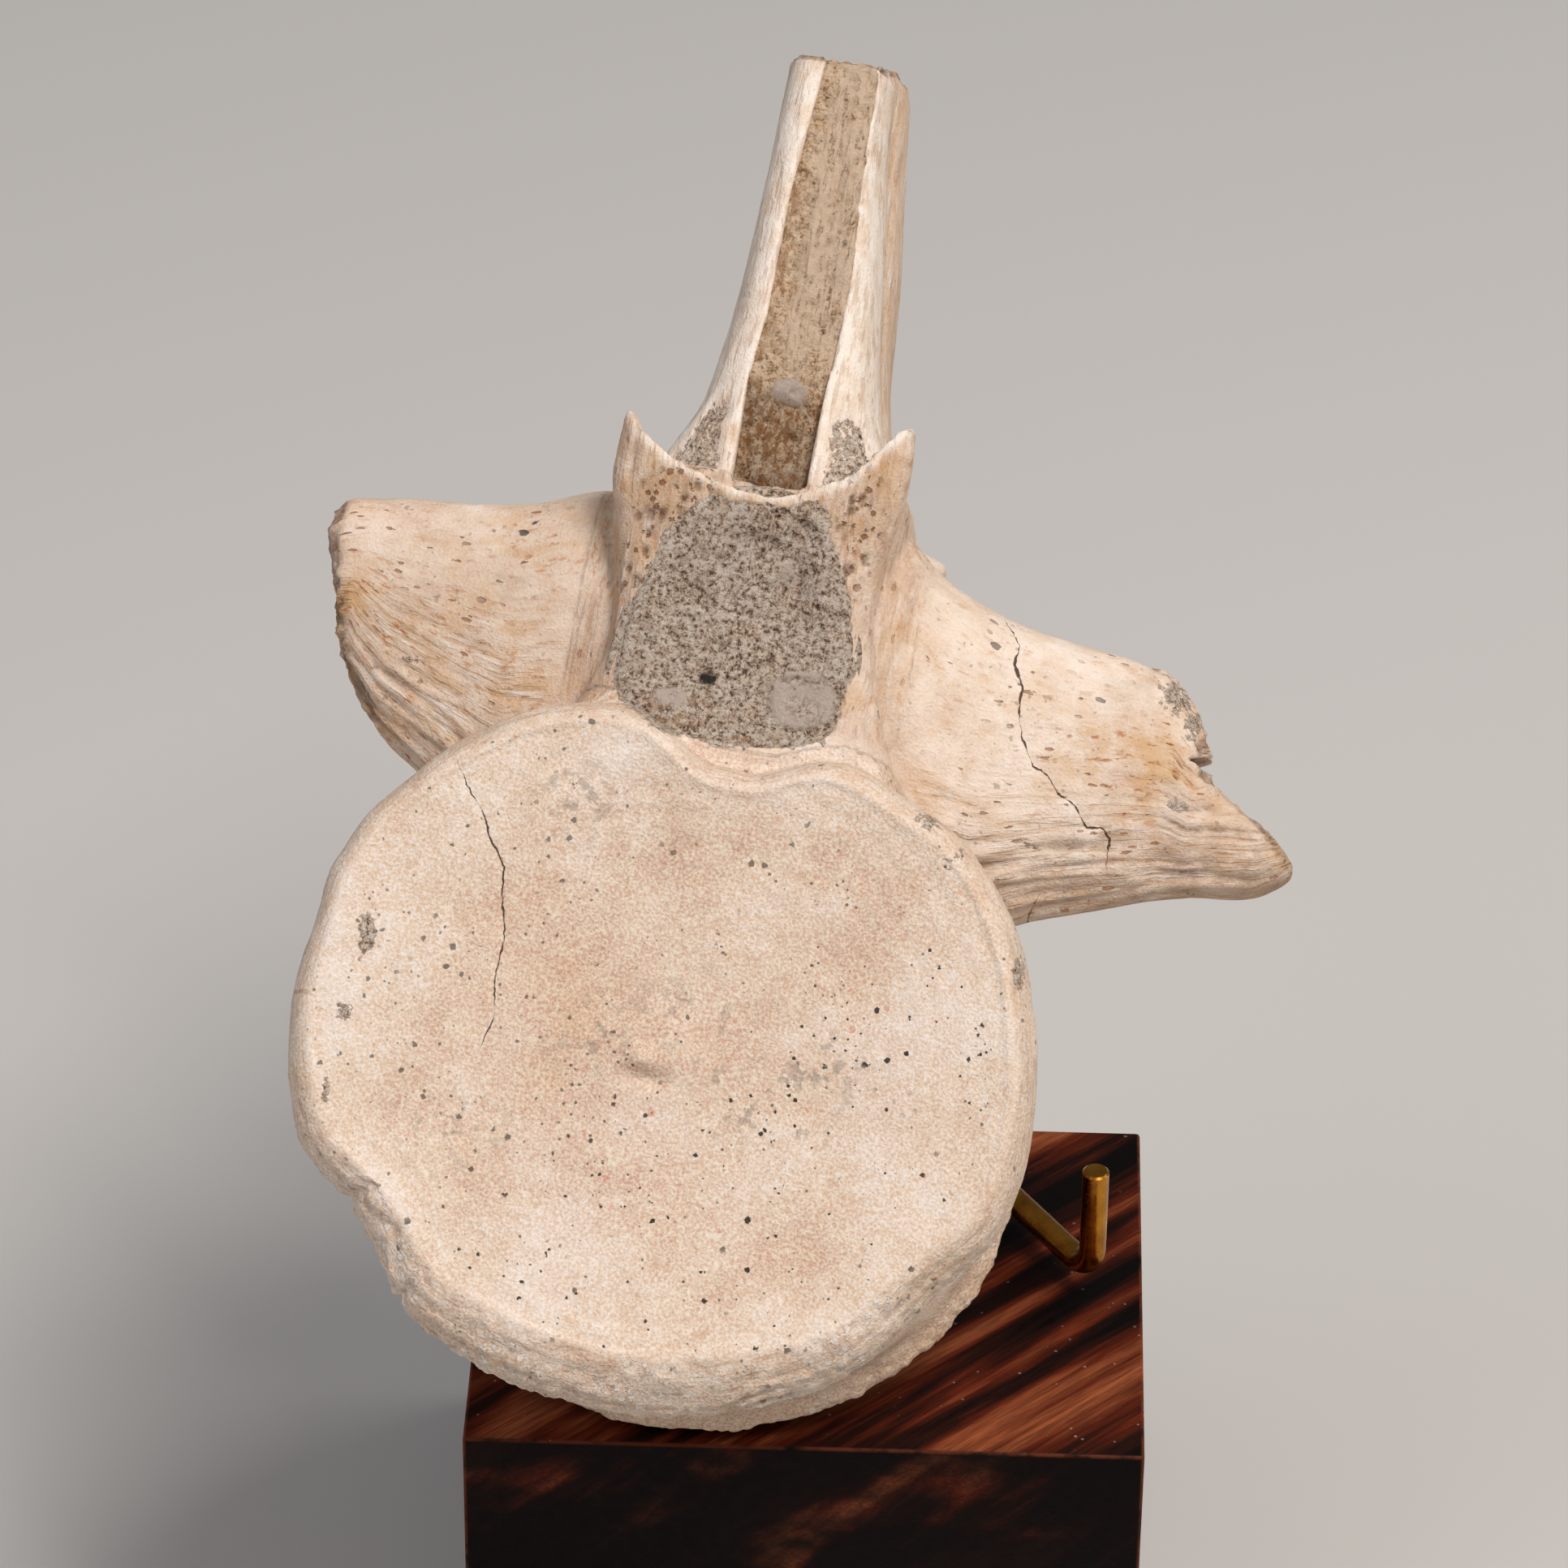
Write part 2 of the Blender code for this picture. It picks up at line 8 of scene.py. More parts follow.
import logging
import math
from collections.abc import Iterable, Sequence
from dataclasses import dataclass
from enum import Enum

import bpy
import numpy as np
from mathutils import Matrix, Vector


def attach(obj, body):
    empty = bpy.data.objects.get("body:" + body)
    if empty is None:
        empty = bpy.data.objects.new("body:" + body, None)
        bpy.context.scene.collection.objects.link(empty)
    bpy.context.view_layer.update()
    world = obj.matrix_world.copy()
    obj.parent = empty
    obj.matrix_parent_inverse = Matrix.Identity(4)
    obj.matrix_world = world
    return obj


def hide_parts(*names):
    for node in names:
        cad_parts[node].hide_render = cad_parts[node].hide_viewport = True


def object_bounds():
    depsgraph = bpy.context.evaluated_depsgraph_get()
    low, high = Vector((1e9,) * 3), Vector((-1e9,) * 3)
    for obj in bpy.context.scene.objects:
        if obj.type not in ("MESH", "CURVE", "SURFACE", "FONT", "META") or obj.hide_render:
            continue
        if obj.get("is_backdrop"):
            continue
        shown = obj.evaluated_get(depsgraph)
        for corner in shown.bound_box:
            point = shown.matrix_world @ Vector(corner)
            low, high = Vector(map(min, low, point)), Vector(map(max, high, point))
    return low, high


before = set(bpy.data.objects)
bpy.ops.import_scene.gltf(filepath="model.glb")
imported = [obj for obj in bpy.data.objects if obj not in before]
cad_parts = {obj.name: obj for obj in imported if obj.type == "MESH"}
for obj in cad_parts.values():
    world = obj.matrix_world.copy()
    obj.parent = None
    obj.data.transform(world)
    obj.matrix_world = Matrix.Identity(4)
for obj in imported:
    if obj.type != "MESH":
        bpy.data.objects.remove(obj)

MM = 0.001
BODY = "root"
LOG = logging.getLogger("vertebra")

Levels = tuple[tuple[float, ...], ...]
Socket = bpy.types.NodeSocket


class Side(Enum):
    """Which side of the midline, as a factor on x."""

    LEFT = -1.0
    RIGHT = 1.0


class Pattern(Enum):
    """Which coordinates a mark's pattern follows."""

    OWN = "own_place"
    FIBRE = "fibre_place"


def linear(colour: str) -> tuple[float, float, float, float]:
    """Turn an sRGB hex colour into linear light.

    Args:
        colour: six hex digits after a hash sign.

    Returns:
        Red, green, blue and an alpha of one.
    """
    parts = [int(colour[place : place + 2], 16) / 255.0 for place in (1, 3, 5)]
    light = [part / 12.92 if part <= 0.04045 else ((part + 0.055) / 1.055) ** 2.4 for part in parts]
    return (*light, 1.0)


def smoothstep(low: float | np.ndarray, high: float | np.ndarray, value: np.ndarray) -> np.ndarray:
    """Rise smoothly from 0 at low to 1 at high."""
    part = np.clip((value - low) / (high - low), 0.0, 1.0)
    return part * part * (3.0 - 2.0 * part)


def scatter(cells: np.ndarray, seed: int) -> np.ndarray:
    """A random number from 0 to 1 for each whole-numbered cell."""
    mixed = cells[:, 0] * 73856093 ^ cells[:, 1] * 19349663 ^ cells[:, 2] * 83492791 ^ seed * 2654435761
    mixed = (mixed ^ (mixed >> 13)) * 1274126177 & 0x7FFFFFFF
    return ((mixed ^ (mixed >> 16)) & 0xFFFF) / 65535.0


def lattice_noise(points: np.ndarray, seed: int) -> np.ndarray:
    """Smooth random values on a unit lattice.

    Args:
        points: places, one row each, with the lattice's spacing as their unit.
        seed: number that picks the pattern.

    Returns:
        A value from -1 to 1 for each place.
    """
    cell = np.floor(points).astype(np.int64)
    part = points - cell
    part = part * part * (3.0 - 2.0 * part)
    total = np.zeros(len(points))
    for corner in np.ndindex(2, 2, 2):
        weight = np.prod(np.where(corner, part, 1.0 - part), axis=1)
        total += weight * (2.0 * scatter(cell + np.array(corner), seed) - 1.0)
    return total


def layered_noise(points: np.ndarray, size: float, seed: int, layers: int = 3) -> np.ndarray:
    """Noise of lumps of a size in millimetres, with finer layers on top."""
    total = np.zeros(len(points))
    strength = 1.0
    for layer in range(layers):
        total += strength * lattice_noise(points * (2.0 ** layer / size), seed + layer)
        strength *= 0.5
    return total / (2.0 - 2.0 * strength)


def pits(points: np.ndarray, mask: np.ndarray, spacing: Sequence[float], radius: float, seed: int) -> np.ndarray:
    """Scattered round pits where a mask allows.

    Args:
        points: places in millimetres, one row each.
        mask: from 0 to 1 for each place.
        spacing: usual distance between pits along each axis.
        radius: a pit's radius as a part of the spacing.
        seed: number that picks the pattern.

    Returns:
        Depth from 0 to 1 for each place.
    """
    found = np.zeros(len(points))
    used = np.flatnonzero(mask > 0.02)
    place = points[used] / np.array(spacing)
    cell = np.floor(place).astype(np.int64)
    nearest = np.full(len(used), np.inf)
    for offset in np.ndindex(3, 3, 3):
        near = cell + np.array(offset) - 1
        jitter = np.stack([scatter(near, seed + axis) for axis in range(3)], axis=1)
        size = 0.5 + scatter(near, seed + 3)
        nearest = np.minimum(nearest, np.linalg.norm(near + jitter - place, axis=1) / size)
    found[used] = smoothstep(radius * 1.3, radius * 0.5, nearest) * mask[used]
    return found


def blob(points: np.ndarray, centre: Sequence[float], size: Sequence[float]) -> np.ndarray:
    """A soft mask of 1 at a place, falling off over sizes in x, y and z."""
    away = (points - np.array(centre)) / np.array(size)
    return np.exp(-np.sum(away * away, axis=1))


def smooth_levels(levels: np.ndarray | Levels, count: int) -> np.ndarray:
    """Stations between the given ones, on curves without kinks.

    Args:
        levels: one row of numbers for each given station.
        count: how many stations to make.

    Returns:
        One row of numbers for each station made.
    """
    table = np.array(levels, float)
    along = np.linspace(0.0, len(table) - 1.0, count)
    index = np.minimum(along.astype(int), len(table) - 2)
    part = (along - index)[:, None]
    start = table[index]
    end = table[index + 1]
    slope_in = (end - table[np.maximum(index - 1, 0)]) / 2.0
    slope_out = (table[np.minimum(index + 2, len(table) - 1)] - start) / 2.0
    square = part * part
    cube = square * part
    return (
        (2.0 * cube - 3.0 * square + 1.0) * start
        + (cube - 2.0 * square + part) * slope_in
        + (3.0 * square - 2.0 * cube) * end
        + (cube - square) * slope_out
    )


def rounded_ring(count: int, power: float) -> np.ndarray:
    """A superellipse of half width one, from an ellipse at power 2 towards a square."""
    angles = np.linspace(0.0, 2.0 * np.pi, count, endpoint=False)
    wave = np.stack((np.cos(angles), np.sin(angles)), axis=1)
    return np.sign(wave) * np.abs(wave) ** (2.0 / power)


def make_object(name: str, points: np.ndarray, faces: Iterable[Sequence[int]]) -> bpy.types.Object:
    """A mesh object from points in millimetres."""
    mesh = bpy.data.meshes.new(name)
    mesh.from_pydata((np.asarray(points) * MM).tolist(), [], [list(face) for face in faces])
    mesh.validate()
    made = bpy.data.objects.new(name, mesh)
    bpy.context.scene.collection.objects.link(made)
    return made


def loft(name: str, rings: np.ndarray | Sequence[np.ndarray]) -> bpy.types.Object:
    """A closed solid through rings of points, capped at both ends and facing out.

    Args:
        name: the object's name.
        rings: rings of the same number of points in millimetres.

    Returns:
        The new object.
    """
    rings = np.asarray(rings, float)
    count, size = rings.shape[:2]
    points = np.vstack((rings.reshape(-1, 3), rings[0].mean(0), rings[-1].mean(0)))
    low = (np.arange(count - 1)[:, None] * size + np.arange(size)).reshape(-1)
    after = (np.arange(count - 1)[:, None] * size + (np.arange(size) + 1) % size).reshape(-1)
    faces = np.stack((low, after, after + size, low + size), axis=1).tolist()
    first = count * size
    top = (count - 1) * size
    for side in range(size):
        beside = (side + 1) % size
        faces.append([first, beside, side])
        faces.append([first + 1, top + side, top + beside])
    corners = points[np.stack((low, after, after + size), axis=1)]
    other = points[np.stack((low, after + size, low + size), axis=1)]
    if np.linalg.det(corners).sum() + np.linalg.det(other).sum() < 0.0:
        faces = [face[::-1] for face in faces]
    return make_object(name, points, faces)


def settle(piece: bpy.types.Object) -> None:
    """Replace a piece's mesh by the one that its modifiers make."""
    graph = bpy.context.evaluated_depsgraph_get()
    mesh = bpy.data.meshes.new_from_object(piece.evaluated_get(graph))
    piece.modifiers.clear()
    piece.data = mesh


def cut(piece: bpy.types.Object, cutter: bpy.types.Object) -> None:
    """Take a cutter out of a piece."""
    modifier = piece.modifiers.new("cut", "BOOLEAN")
    modifier.operation = "DIFFERENCE"
    modifier.solver = "EXACT"
    modifier.object = cutter
    settle(piece)


def fuse(name: str, parts: Sequence[bpy.types.Object], voxel: float, passes: int) -> bpy.types.Object:
    """Melt overlapping closed pieces into one skin.

    Args:
        name: the new object's name.
        parts: the pieces, which are used up.
        voxel: the grid's spacing in millimetres.
        passes: rounds of smoothing after it.

    Returns:
        The fused object.
    """
    points: list[np.ndarray] = []
    faces: list[list[int]] = []
    start = 0
    for part in parts:
        place = np.array([vertex.co for vertex in part.data.vertices]) / MM
        faces.extend([start + index for index in face.vertices] for face in part.data.polygons)
        points.append(place)
        start += len(place)
        bpy.data.objects.remove(part, do_unlink=True)
    made = make_object(name, np.vstack(points), faces)
    remesh = made.modifiers.new("fuse", "REMESH")
    remesh.mode = "VOXEL"
    remesh.voxel_size = voxel * MM
    smooth = made.modifiers.new("soften", "SMOOTH")
    smooth.factor = 0.5
    smooth.iterations = passes
    settle(made)
    made.data.shade_smooth()
    return made


def read_mesh(piece: bpy.types.Object) -> tuple[np.ndarray, np.ndarray]:
    """The points of a piece in millimetres and their normals."""
    mesh = piece.data
    points = np.empty(len(mesh.vertices) * 3, np.float32)
    normals = np.empty(len(mesh.vertices) * 3, np.float32)
    mesh.vertices.foreach_get("co", points)
    mesh.vertex_normals.foreach_get("vector", normals)
    return points.reshape(-1, 3).astype(float) / MM, normals.reshape(-1, 3).astype(float)


def write_points(piece: bpy.types.Object, points: np.ndarray) -> None:
    """Set the points of a piece from millimetres."""
    piece.data.vertices.foreach_set("co", (points * MM).astype(np.float32).reshape(-1))
    piece.data.update()


def paint(piece: bpy.types.Object, layers: dict[str, np.ndarray]) -> None:
    """Store a number or a vector for each point of a piece, for its finish to read.

    Args:
        piece: the piece.
        layers: for each layer's name, its values, which are clipped to 0 to 1 where they are numbers.
    """
    for name, values in layers.items():
        flat = values.ndim == 1
        layer = piece.data.attributes.new(name, "FLOAT" if flat else "FLOAT_VECTOR", "POINT")
        values = np.clip(values, 0.0, 1.0) if flat else values
        layer.data.foreach_set("value" if flat else "vector", values.astype(np.float32).reshape(-1))


def add_node(tree: bpy.types.NodeTree, kind: str, values: dict[str | int, object], out: str | int = 0) -> Socket:
    """Add a node with its settings and links.

    Args:
        tree: the node tree that takes it.
        kind: the node's type without its ShaderNode prefix.
        values: its settings, in lower case, and for each input's name or number a socket or a constant.
            "stops" are a ramp's places with a hex colour or a grey for each.
        out: the output to hand back.

    Returns:
        That output.
    """
    made = tree.nodes.new("ShaderNode" + kind)
    for name, value in values.items():
        if name == "stops":
            elements = made.color_ramp.elements
            for index, (place, shade) in enumerate(value):
                stop = elements[index] if index < 2 else elements.new(place)
                stop.position = place
                stop.color = linear(shade) if isinstance(shade, str) else (shade, shade, shade, 1.0)
        elif isinstance(name, str) and name.islower():
            setattr(made, name, value)
        elif isinstance(value, Socket):
            tree.links.new(value, made.inputs[name])
        else:
            made.inputs[name].default_value = value
    return made.outputs[out]


@dataclass(frozen=True)
class Surface:
    """A surface in the making: its node tree, its colour so far and its height so far."""

    tree: bpy.types.NodeTree
    colour: Socket
    height: Socket

    def place(self, pattern: Pattern, size: Sequence[float]) -> Socket:
        """The pattern's coordinates in steps of a size in millimetres."""
        found = add_node(self.tree, "Attribute", {"attribute_name": pattern.value}, "Vector")
        steps = tuple(1.0 / part for part in size)
        return add_node(self.tree, "VectorMath", {"operation": "MULTIPLY", 0: found, 1: steps})

    def noise(self, size: Sequence[float], detail: float, roughness: float, pattern: Pattern = Pattern.OWN) -> Socket:
        """Cloudy noise with lumps of a size in millimetres."""
        values = {"Vector": self.place(pattern, size), "Scale": 1.0, "Detail": detail, "Roughness": roughness}
        return add_node(self.tree, "TexNoise", values)

    def painted(self, layer: str) -> Socket:
        """A painted layer's number."""
        return add_node(self.tree, "Attribute", {"attribute_name": layer}, "Fac")

    def with_mark(self, amount: Socket | float, colour: str | Socket, relief: float, blend: str = "MIX") -> "Surface":
        """The surface with a colour and a relief laid on by an amount.

        Args:
            amount: where the mark is, from 0 to 1.
            colour: sRGB hex or a colour socket.
            relief: how far the mark stands up, in millimetres.
            blend: Blender's name for how the colours combine.

        Returns:
            The new surface.
        """
        over = linear(colour) if isinstance(colour, str) else colour
        mixed = {"data_type": "RGBA", "blend_type": blend, 0: amount, 6: self.colour, 7: over}
        shade = add_node(self.tree, "Mix", mixed, 2)
        if relief == 0.0:
            return Surface(self.tree, shade, self.height)
        raised = {"operation": "MULTIPLY_ADD", 0: amount, 1: relief, 2: self.height}
        return Surface(self.tree, shade, add_node(self.tree, "Math", raised))


@dataclass(frozen=True)
class Mottle:
    """Lighter and darker lumps of one size, all over."""

    size: float
    dark: float
    light: float
    strength: float
    relief: float = 0.0
    detail: float = 3.0
    layer: str = ""

    def lay(self, base: Surface) -> Surface:
        """Lay the mottling on a surface, everywhere or by a painted layer."""
        amount: Socket | float = self.strength
        if self.layer:
            weaker = {"operation": "MULTIPLY", 0: base.painted(self.layer), 1: self.strength}
            amount = add_node(base.tree, "Math", weaker)
        lumps = base.noise((self.size,) * 3, self.detail, 0.6)
        stops = ((0.33, self.dark), (0.67, self.light))
        shade = add_node(base.tree, "ValToRGB", {"Fac": lumps, "stops": stops})
        mottled = base.with_mark(amount, shade, 0.0, "OVERLAY")
        if self.relief == 0.0:
            return mottled
        raised = {"operation": "MULTIPLY_ADD", 0: lumps, 1: self.relief, 2: base.height}
        return Surface(base.tree, mottled.colour, add_node(base.tree, "Math", raised))


@dataclass(frozen=True)
class Stain:
    """A colour in patches of noise, where a painted layer allows."""

    colour: str
    layer: str
    size: tuple[float, float, float]
    stops: tuple[float, float]
    strength: float
    relief: float = 0.0
    pattern: Pattern = Pattern.OWN
    detail: float = 3.0

    def lay(self, base: Surface) -> Surface:
        """Lay the stain on a surface."""
        low, high = self.stops
        patches = base.noise(self.size, self.detail, 0.62, self.pattern)
        spread = {"interpolation_type": "SMOOTHSTEP", 0: patches, 1: low, 2: high, 3: 0.0, 4: self.strength}
        amount = add_node(base.tree, "MapRange", spread)
        allowed = {"operation": "MULTIPLY", 0: amount, 1: base.painted(self.layer)}
        return base.with_mark(add_node(base.tree, "Math", allowed), self.colour, self.relief)


@dataclass(frozen=True)
class Specks:
    """Scattered small marks with ragged edges, in clusters, where a painted layer allows."""

    colour: str
    layer: str
    spacing: tuple[float, float, float]
    radius: float
    cluster: float
    strength: float
    relief: float = 0.0
    pattern: Pattern = Pattern.OWN
    share: float = 0.5
    crowding: tuple[float, float] = (0.42, 0.56)

    def lay(self, base: Surface) -> Surface:
        """Lay the specks on a surface."""
        tree = base.tree
        grid = base.place(self.pattern, self.spacing)
        cells = add_node(tree, "TexVoronoi", {"Vector": grid, "Scale": 1.0, "Randomness": 1.0}, "Distance")
        pick = add_node(tree, "SeparateColor", {"Color": cells.node.outputs["Color"]})
        sized = {0: pick.node.outputs["Green"], 1: 0.0, 2: 1.0, 3: self.radius * 0.4, 4: self.radius}
        wobble = add_node(tree, "TexNoise", {"Vector": grid, "Scale": 5.0, "Detail": 2.0})
        ragged = {"operation": "MULTIPLY_ADD", 0: wobble, 1: self.radius * 1.6, 2: cells}
        reach = add_node(tree, "MapRange", sized)
        away = add_node(tree, "Math", {"operation": "SUBTRACT", 0: add_node(tree, "Math", ragged), 1: reach})
        edge = {"interpolation_type": "SMOOTHSTEP", 0: away, 1: self.radius * 0.95, 2: self.radius * 0.65}
        amount = add_node(tree, "MapRange", {**edge, 3: 0.0, 4: self.strength})
        chosen = add_node(tree, "Math", {"operation": "GREATER_THAN", 0: pick, 1: 1.0 - self.share})
        thin, thick = self.crowding
        crowd = {0: base.noise((self.cluster,) * 3, 2.0, 0.5), 1: thin, 2: thick, 3: 0.0, 4: 1.0}
        for allowed in (chosen, add_node(tree, "MapRange", crowd), base.painted(self.layer)):
            amount = add_node(tree, "Math", {"operation": "MULTIPLY", 0: amount, 1: allowed})
        return base.with_mark(amount, self.colour, self.relief)


@dataclass(frozen=True)
class Finish:
    """What every finish shares: its name and the slot of the record that it dresses."""

    name: str
    slot: str

    def start(self, size: float, stops: Sequence[tuple[float, str]]) -> tuple[Surface, bpy.types.Material]:
        """A new material with a wide cloud of base tones.

        Args:
            size: the clouds' size in millimetres.
            stops: places from 0 to 1 with the tone there.

        Returns:
            The surface to lay marks on and the material.
        """
        made = bpy.data.materials.new(self.name)
        made.use_nodes = True
        tree = made.node_tree
        bare = Surface(tree, None, None)
        clouds = bare.noise((size,) * 3, 4.0, 0.55)
        return Surface(tree, add_node(tree, "ValToRGB", {"Fac": clouds, "stops": stops}), clouds), made

    def end(self, made: bpy.types.Material, base: Surface, matt: tuple[float, float], gloss: float, bump: float) -> None:
        """Join a surface to its shader.

        Args:
            made: the material.
            base: its surface.
            matt: roughness where the height is low and where it is high.
            gloss: the shader's specular level.
            bump: how strongly the height tilts the light.
        """
        tree = made.node_tree
        shader = tree.nodes["Principled BSDF"]
        shader.inputs["IOR"].default_value = 1.5
        shader.inputs["Specular IOR Level"].default_value = gloss
        tree.links.new(base.colour, shader.inputs["Base Color"])
        fine = base.noise((1.4,) * 3, 2.0, 0.5)
        rough = add_node(tree, "MapRange", {0: fine, 1: 0.3, 2: 0.7, 3: matt[0], 4: matt[1]})
        tree.links.new(rough, shader.inputs["Roughness"])
        relief = {"Strength": bump, "Distance": MM, "Height": base.height}
        tree.links.new(add_node(tree, "Bump", relief), shader.inputs["Normal"])

    def dress(self, piece: bpy.types.Object, surface: bpy.types.Material) -> None:
        """Give a piece this finish."""
        piece.data.materials.clear()
        piece.data.materials.append(surface)


@dataclass(frozen=True)
class Sandstone:
    """Loose-grained sandstone with shell grit.

    It gives the eye a matt, gritty grey with single light and dark grains.
    """

    light: str = "#F1E3D3"
    middle: str = "#C4AA93"
    dark: str = "#493B31"
    warm: str = "#B08A62"
    rust: float = 0.3
    grain: float = 0.62

    def lay(self, base: Surface, amount: Socket | float) -> Surface:
        """Lay the stone on a surface by an amount."""
        tree = base.tree
        grains = base.noise((self.grain,) * 3, 5.0, 0.85)
        stops = ((0.40, self.dark), (0.475, self.middle), (0.57, self.light))
        colour = add_node(tree, "ValToRGB", {"Fac": grains, "stops": stops})
        wide = base.noise((3.6,) * 3, 4.0, 0.7)
        tint = add_node(tree, "ValToRGB", {"Fac": wide, "stops": ((0.36, 0.3), (0.64, 0.68))})
        stone = Surface(tree, colour, base.height).with_mark(0.75, tint, 0.0, "OVERLAY")
        rusty = add_node(tree, "MapRange", {0: wide.node.outputs["Fac"], 1: 0.54, 2: 0.66, 3: 0.0, 4: self.rust})
        stone = stone.with_mark(rusty, self.warm, 0.0)
        rough = add_node(tree, "Math", {"operation": "MULTIPLY", 0: grains, 1: amount})
        height = add_node(tree, "Math", {"operation": "MULTIPLY_ADD", 0: rough, 1: 0.75, 2: base.height})
        return Surface(tree, base.with_mark(amount, stone.colour, 0.0).colour, height)


@dataclass(frozen=True)
class FossilBoneFinish(Finish):
    """Permineralised bone, dug out and cleaned by hand.

    It gives the eye a dry chalky ivory without gloss, with open fibres along the processes, rust and tan
    stains, tiny black manganese dots and grey sandstone left in its hollows.
    """

    tones: tuple[tuple[float, str], ...] = ((0.34, "#D5BBA4"), (0.50, "#DDC7B3"), (0.66, "#E4D3C5"))
    umber: str = "#4A2E1B"
    layers: tuple[Mottle | Stain | Specks, ...] = (
        Stain("#CDAC8E", "tone", (12.0, 12.0, 12.0), (0.15, 0.60), 0.8),
        Stain("#A07B58", "grime", (4.0, 4.0, 4.0), (0.30, 0.62), 0.75),
        Stain("#F2E6D9", "pale", (9.0, 9.0, 9.0), (0.15, 0.5), 0.9),
        Mottle(2.6, 0.40, 0.60, 0.5, 0.0, 4.0),
        Mottle(0.34, 0.24, 0.72, 0.68, 0.2, 2.0, "grit"),
        Stain("#B48A63", "fibre", (7.0, 0.7, 0.7), (0.49, 0.35), 0.65, -0.2, Pattern.FIBRE, 4.0),
        Stain("#EFE5DB", "fibre", (9.0, 0.7, 0.7), (0.53, 0.67), 0.65, 0.16, Pattern.FIBRE, 4.0),
        Stain("#C99A60", "rust", (5.5, 3.5, 4.0), (0.46, 0.64), 0.62),
        Stain("#B5713A", "rust", (2.2, 0.8, 0.8), (0.56, 0.68), 0.85, -0.1, Pattern.FIBRE, 4.0),
        # Painted shade: dark brown in the hollows of the skin
        Stain("#6B4C35", "hollow_shade", (2.0, 2.0, 2.0), (0.15, 0.62), 0.75),
        Specks("#985A2B", "dashes", (2.7, 1.0, 1.0), 0.21, 8.0, 0.9, -0.45, Pattern.FIBRE, 0.75, (0.40, 0.54)),
        Specks("#3B3029", "dashes", (4.6, 2.3, 2.3), 0.13, 14.0, 0.85, -0.45, Pattern.FIBRE, 0.45),
        Specks("#F0E8E0", "nodules", (1.0, 1.0, 1.0), 0.5, 7.0, 0.5, 0.4, Pattern.OWN, 0.8),
        Stain("#8F8175", "smudge", (1.6, 1.6, 1.6), (0.53, 0.64), 0.6),
        Specks("#221E1B", "dots", (2.0, 2.0, 2.0), 0.19, 9.0, 0.95, 0.0, Pattern.OWN, 0.8, (0.44, 0.52)),
        Specks("#2A2522", "dots", (0.9, 0.9, 0.9), 0.24, 4.0, 0.95, 0.0, Pattern.OWN, 0.8, (0.56, 0.60)),
        Specks("#3A322C", "dots", (1.4, 1.4, 1.4), 0.12, 12.0, 0.85, 0.0, Pattern.OWN, 0.8),
        Specks("#C46A4A", "dots", (3.4, 3.4, 3.4), 0.14, 10.0, 0.45, 0.0, Pattern.OWN, 0.5, (0.48, 0.58)),
        Specks("#8A5C36", "pores", (1.05, 1.05, 1.05), 0.36, 5.0, 0.9, -0.5, Pattern.OWN, 0.85, (0.30, 0.44)),
    )

    def material(self) -> bpy.types.Material:
        """Build the material from its base tones, marks, stone and cracks."""
        base, made = self.start(15.0, self.tones)
        for layer in self.layers:
            base = layer.lay(base)
        tree = base.tree
        ragged = base.noise((0.9,) * 3, 4.0, 0.7)
        rocky = add_node(tree, "Math", {"operation": "ADD", 0: base.painted("rock"), 1: ragged})
        rocky = add_node(tree, "MapRange", {0: rocky, 1: 0.95, 2: 1.05, 3: 0.0, 4: 1.0})
        base = Sandstone().lay(base, rocky)

        off = add_node(tree, "Attribute", {"attribute_name": "crack_off"}, "Vector")
        off = add_node(tree, "SeparateXYZ", {"Vector": off})
        jitter = add_node(tree, "Math", {"operation": "SUBTRACT", 0: base.noise((0.8,) * 3, 3.0, 0.6), 1: 0.5})
        off = add_node(tree, "Math", {"operation": "MULTIPLY_ADD", 0: jitter, 1: 0.55, 2: off})
        off = add_node(tree, "Math", {"operation": "ABSOLUTE", 0: off})
        uneven = add_node(tree, "MapRange", {0: base.noise((2.2,) * 3, 2.0, 0.6), 1: 0.38, 2: 0.62, 3: 0.0, 4: 1.6})
        width = {"operation": "MULTIPLY", 0: base.painted("crack_on"), 1: uneven}
        off = add_node(tree, "Math", {"operation": "SUBTRACT", 0: off, 1: add_node(tree, "Math", width)})
        split = add_node(tree, "MapRange", {0: off, 1: 0.03, 2: -0.05, 3: 0.0, 4: 0.95})
        self.end(made, base.with_mark(split, self.umber, -0.5), (0.72, 0.94), 0.3, 0.85)
        return made


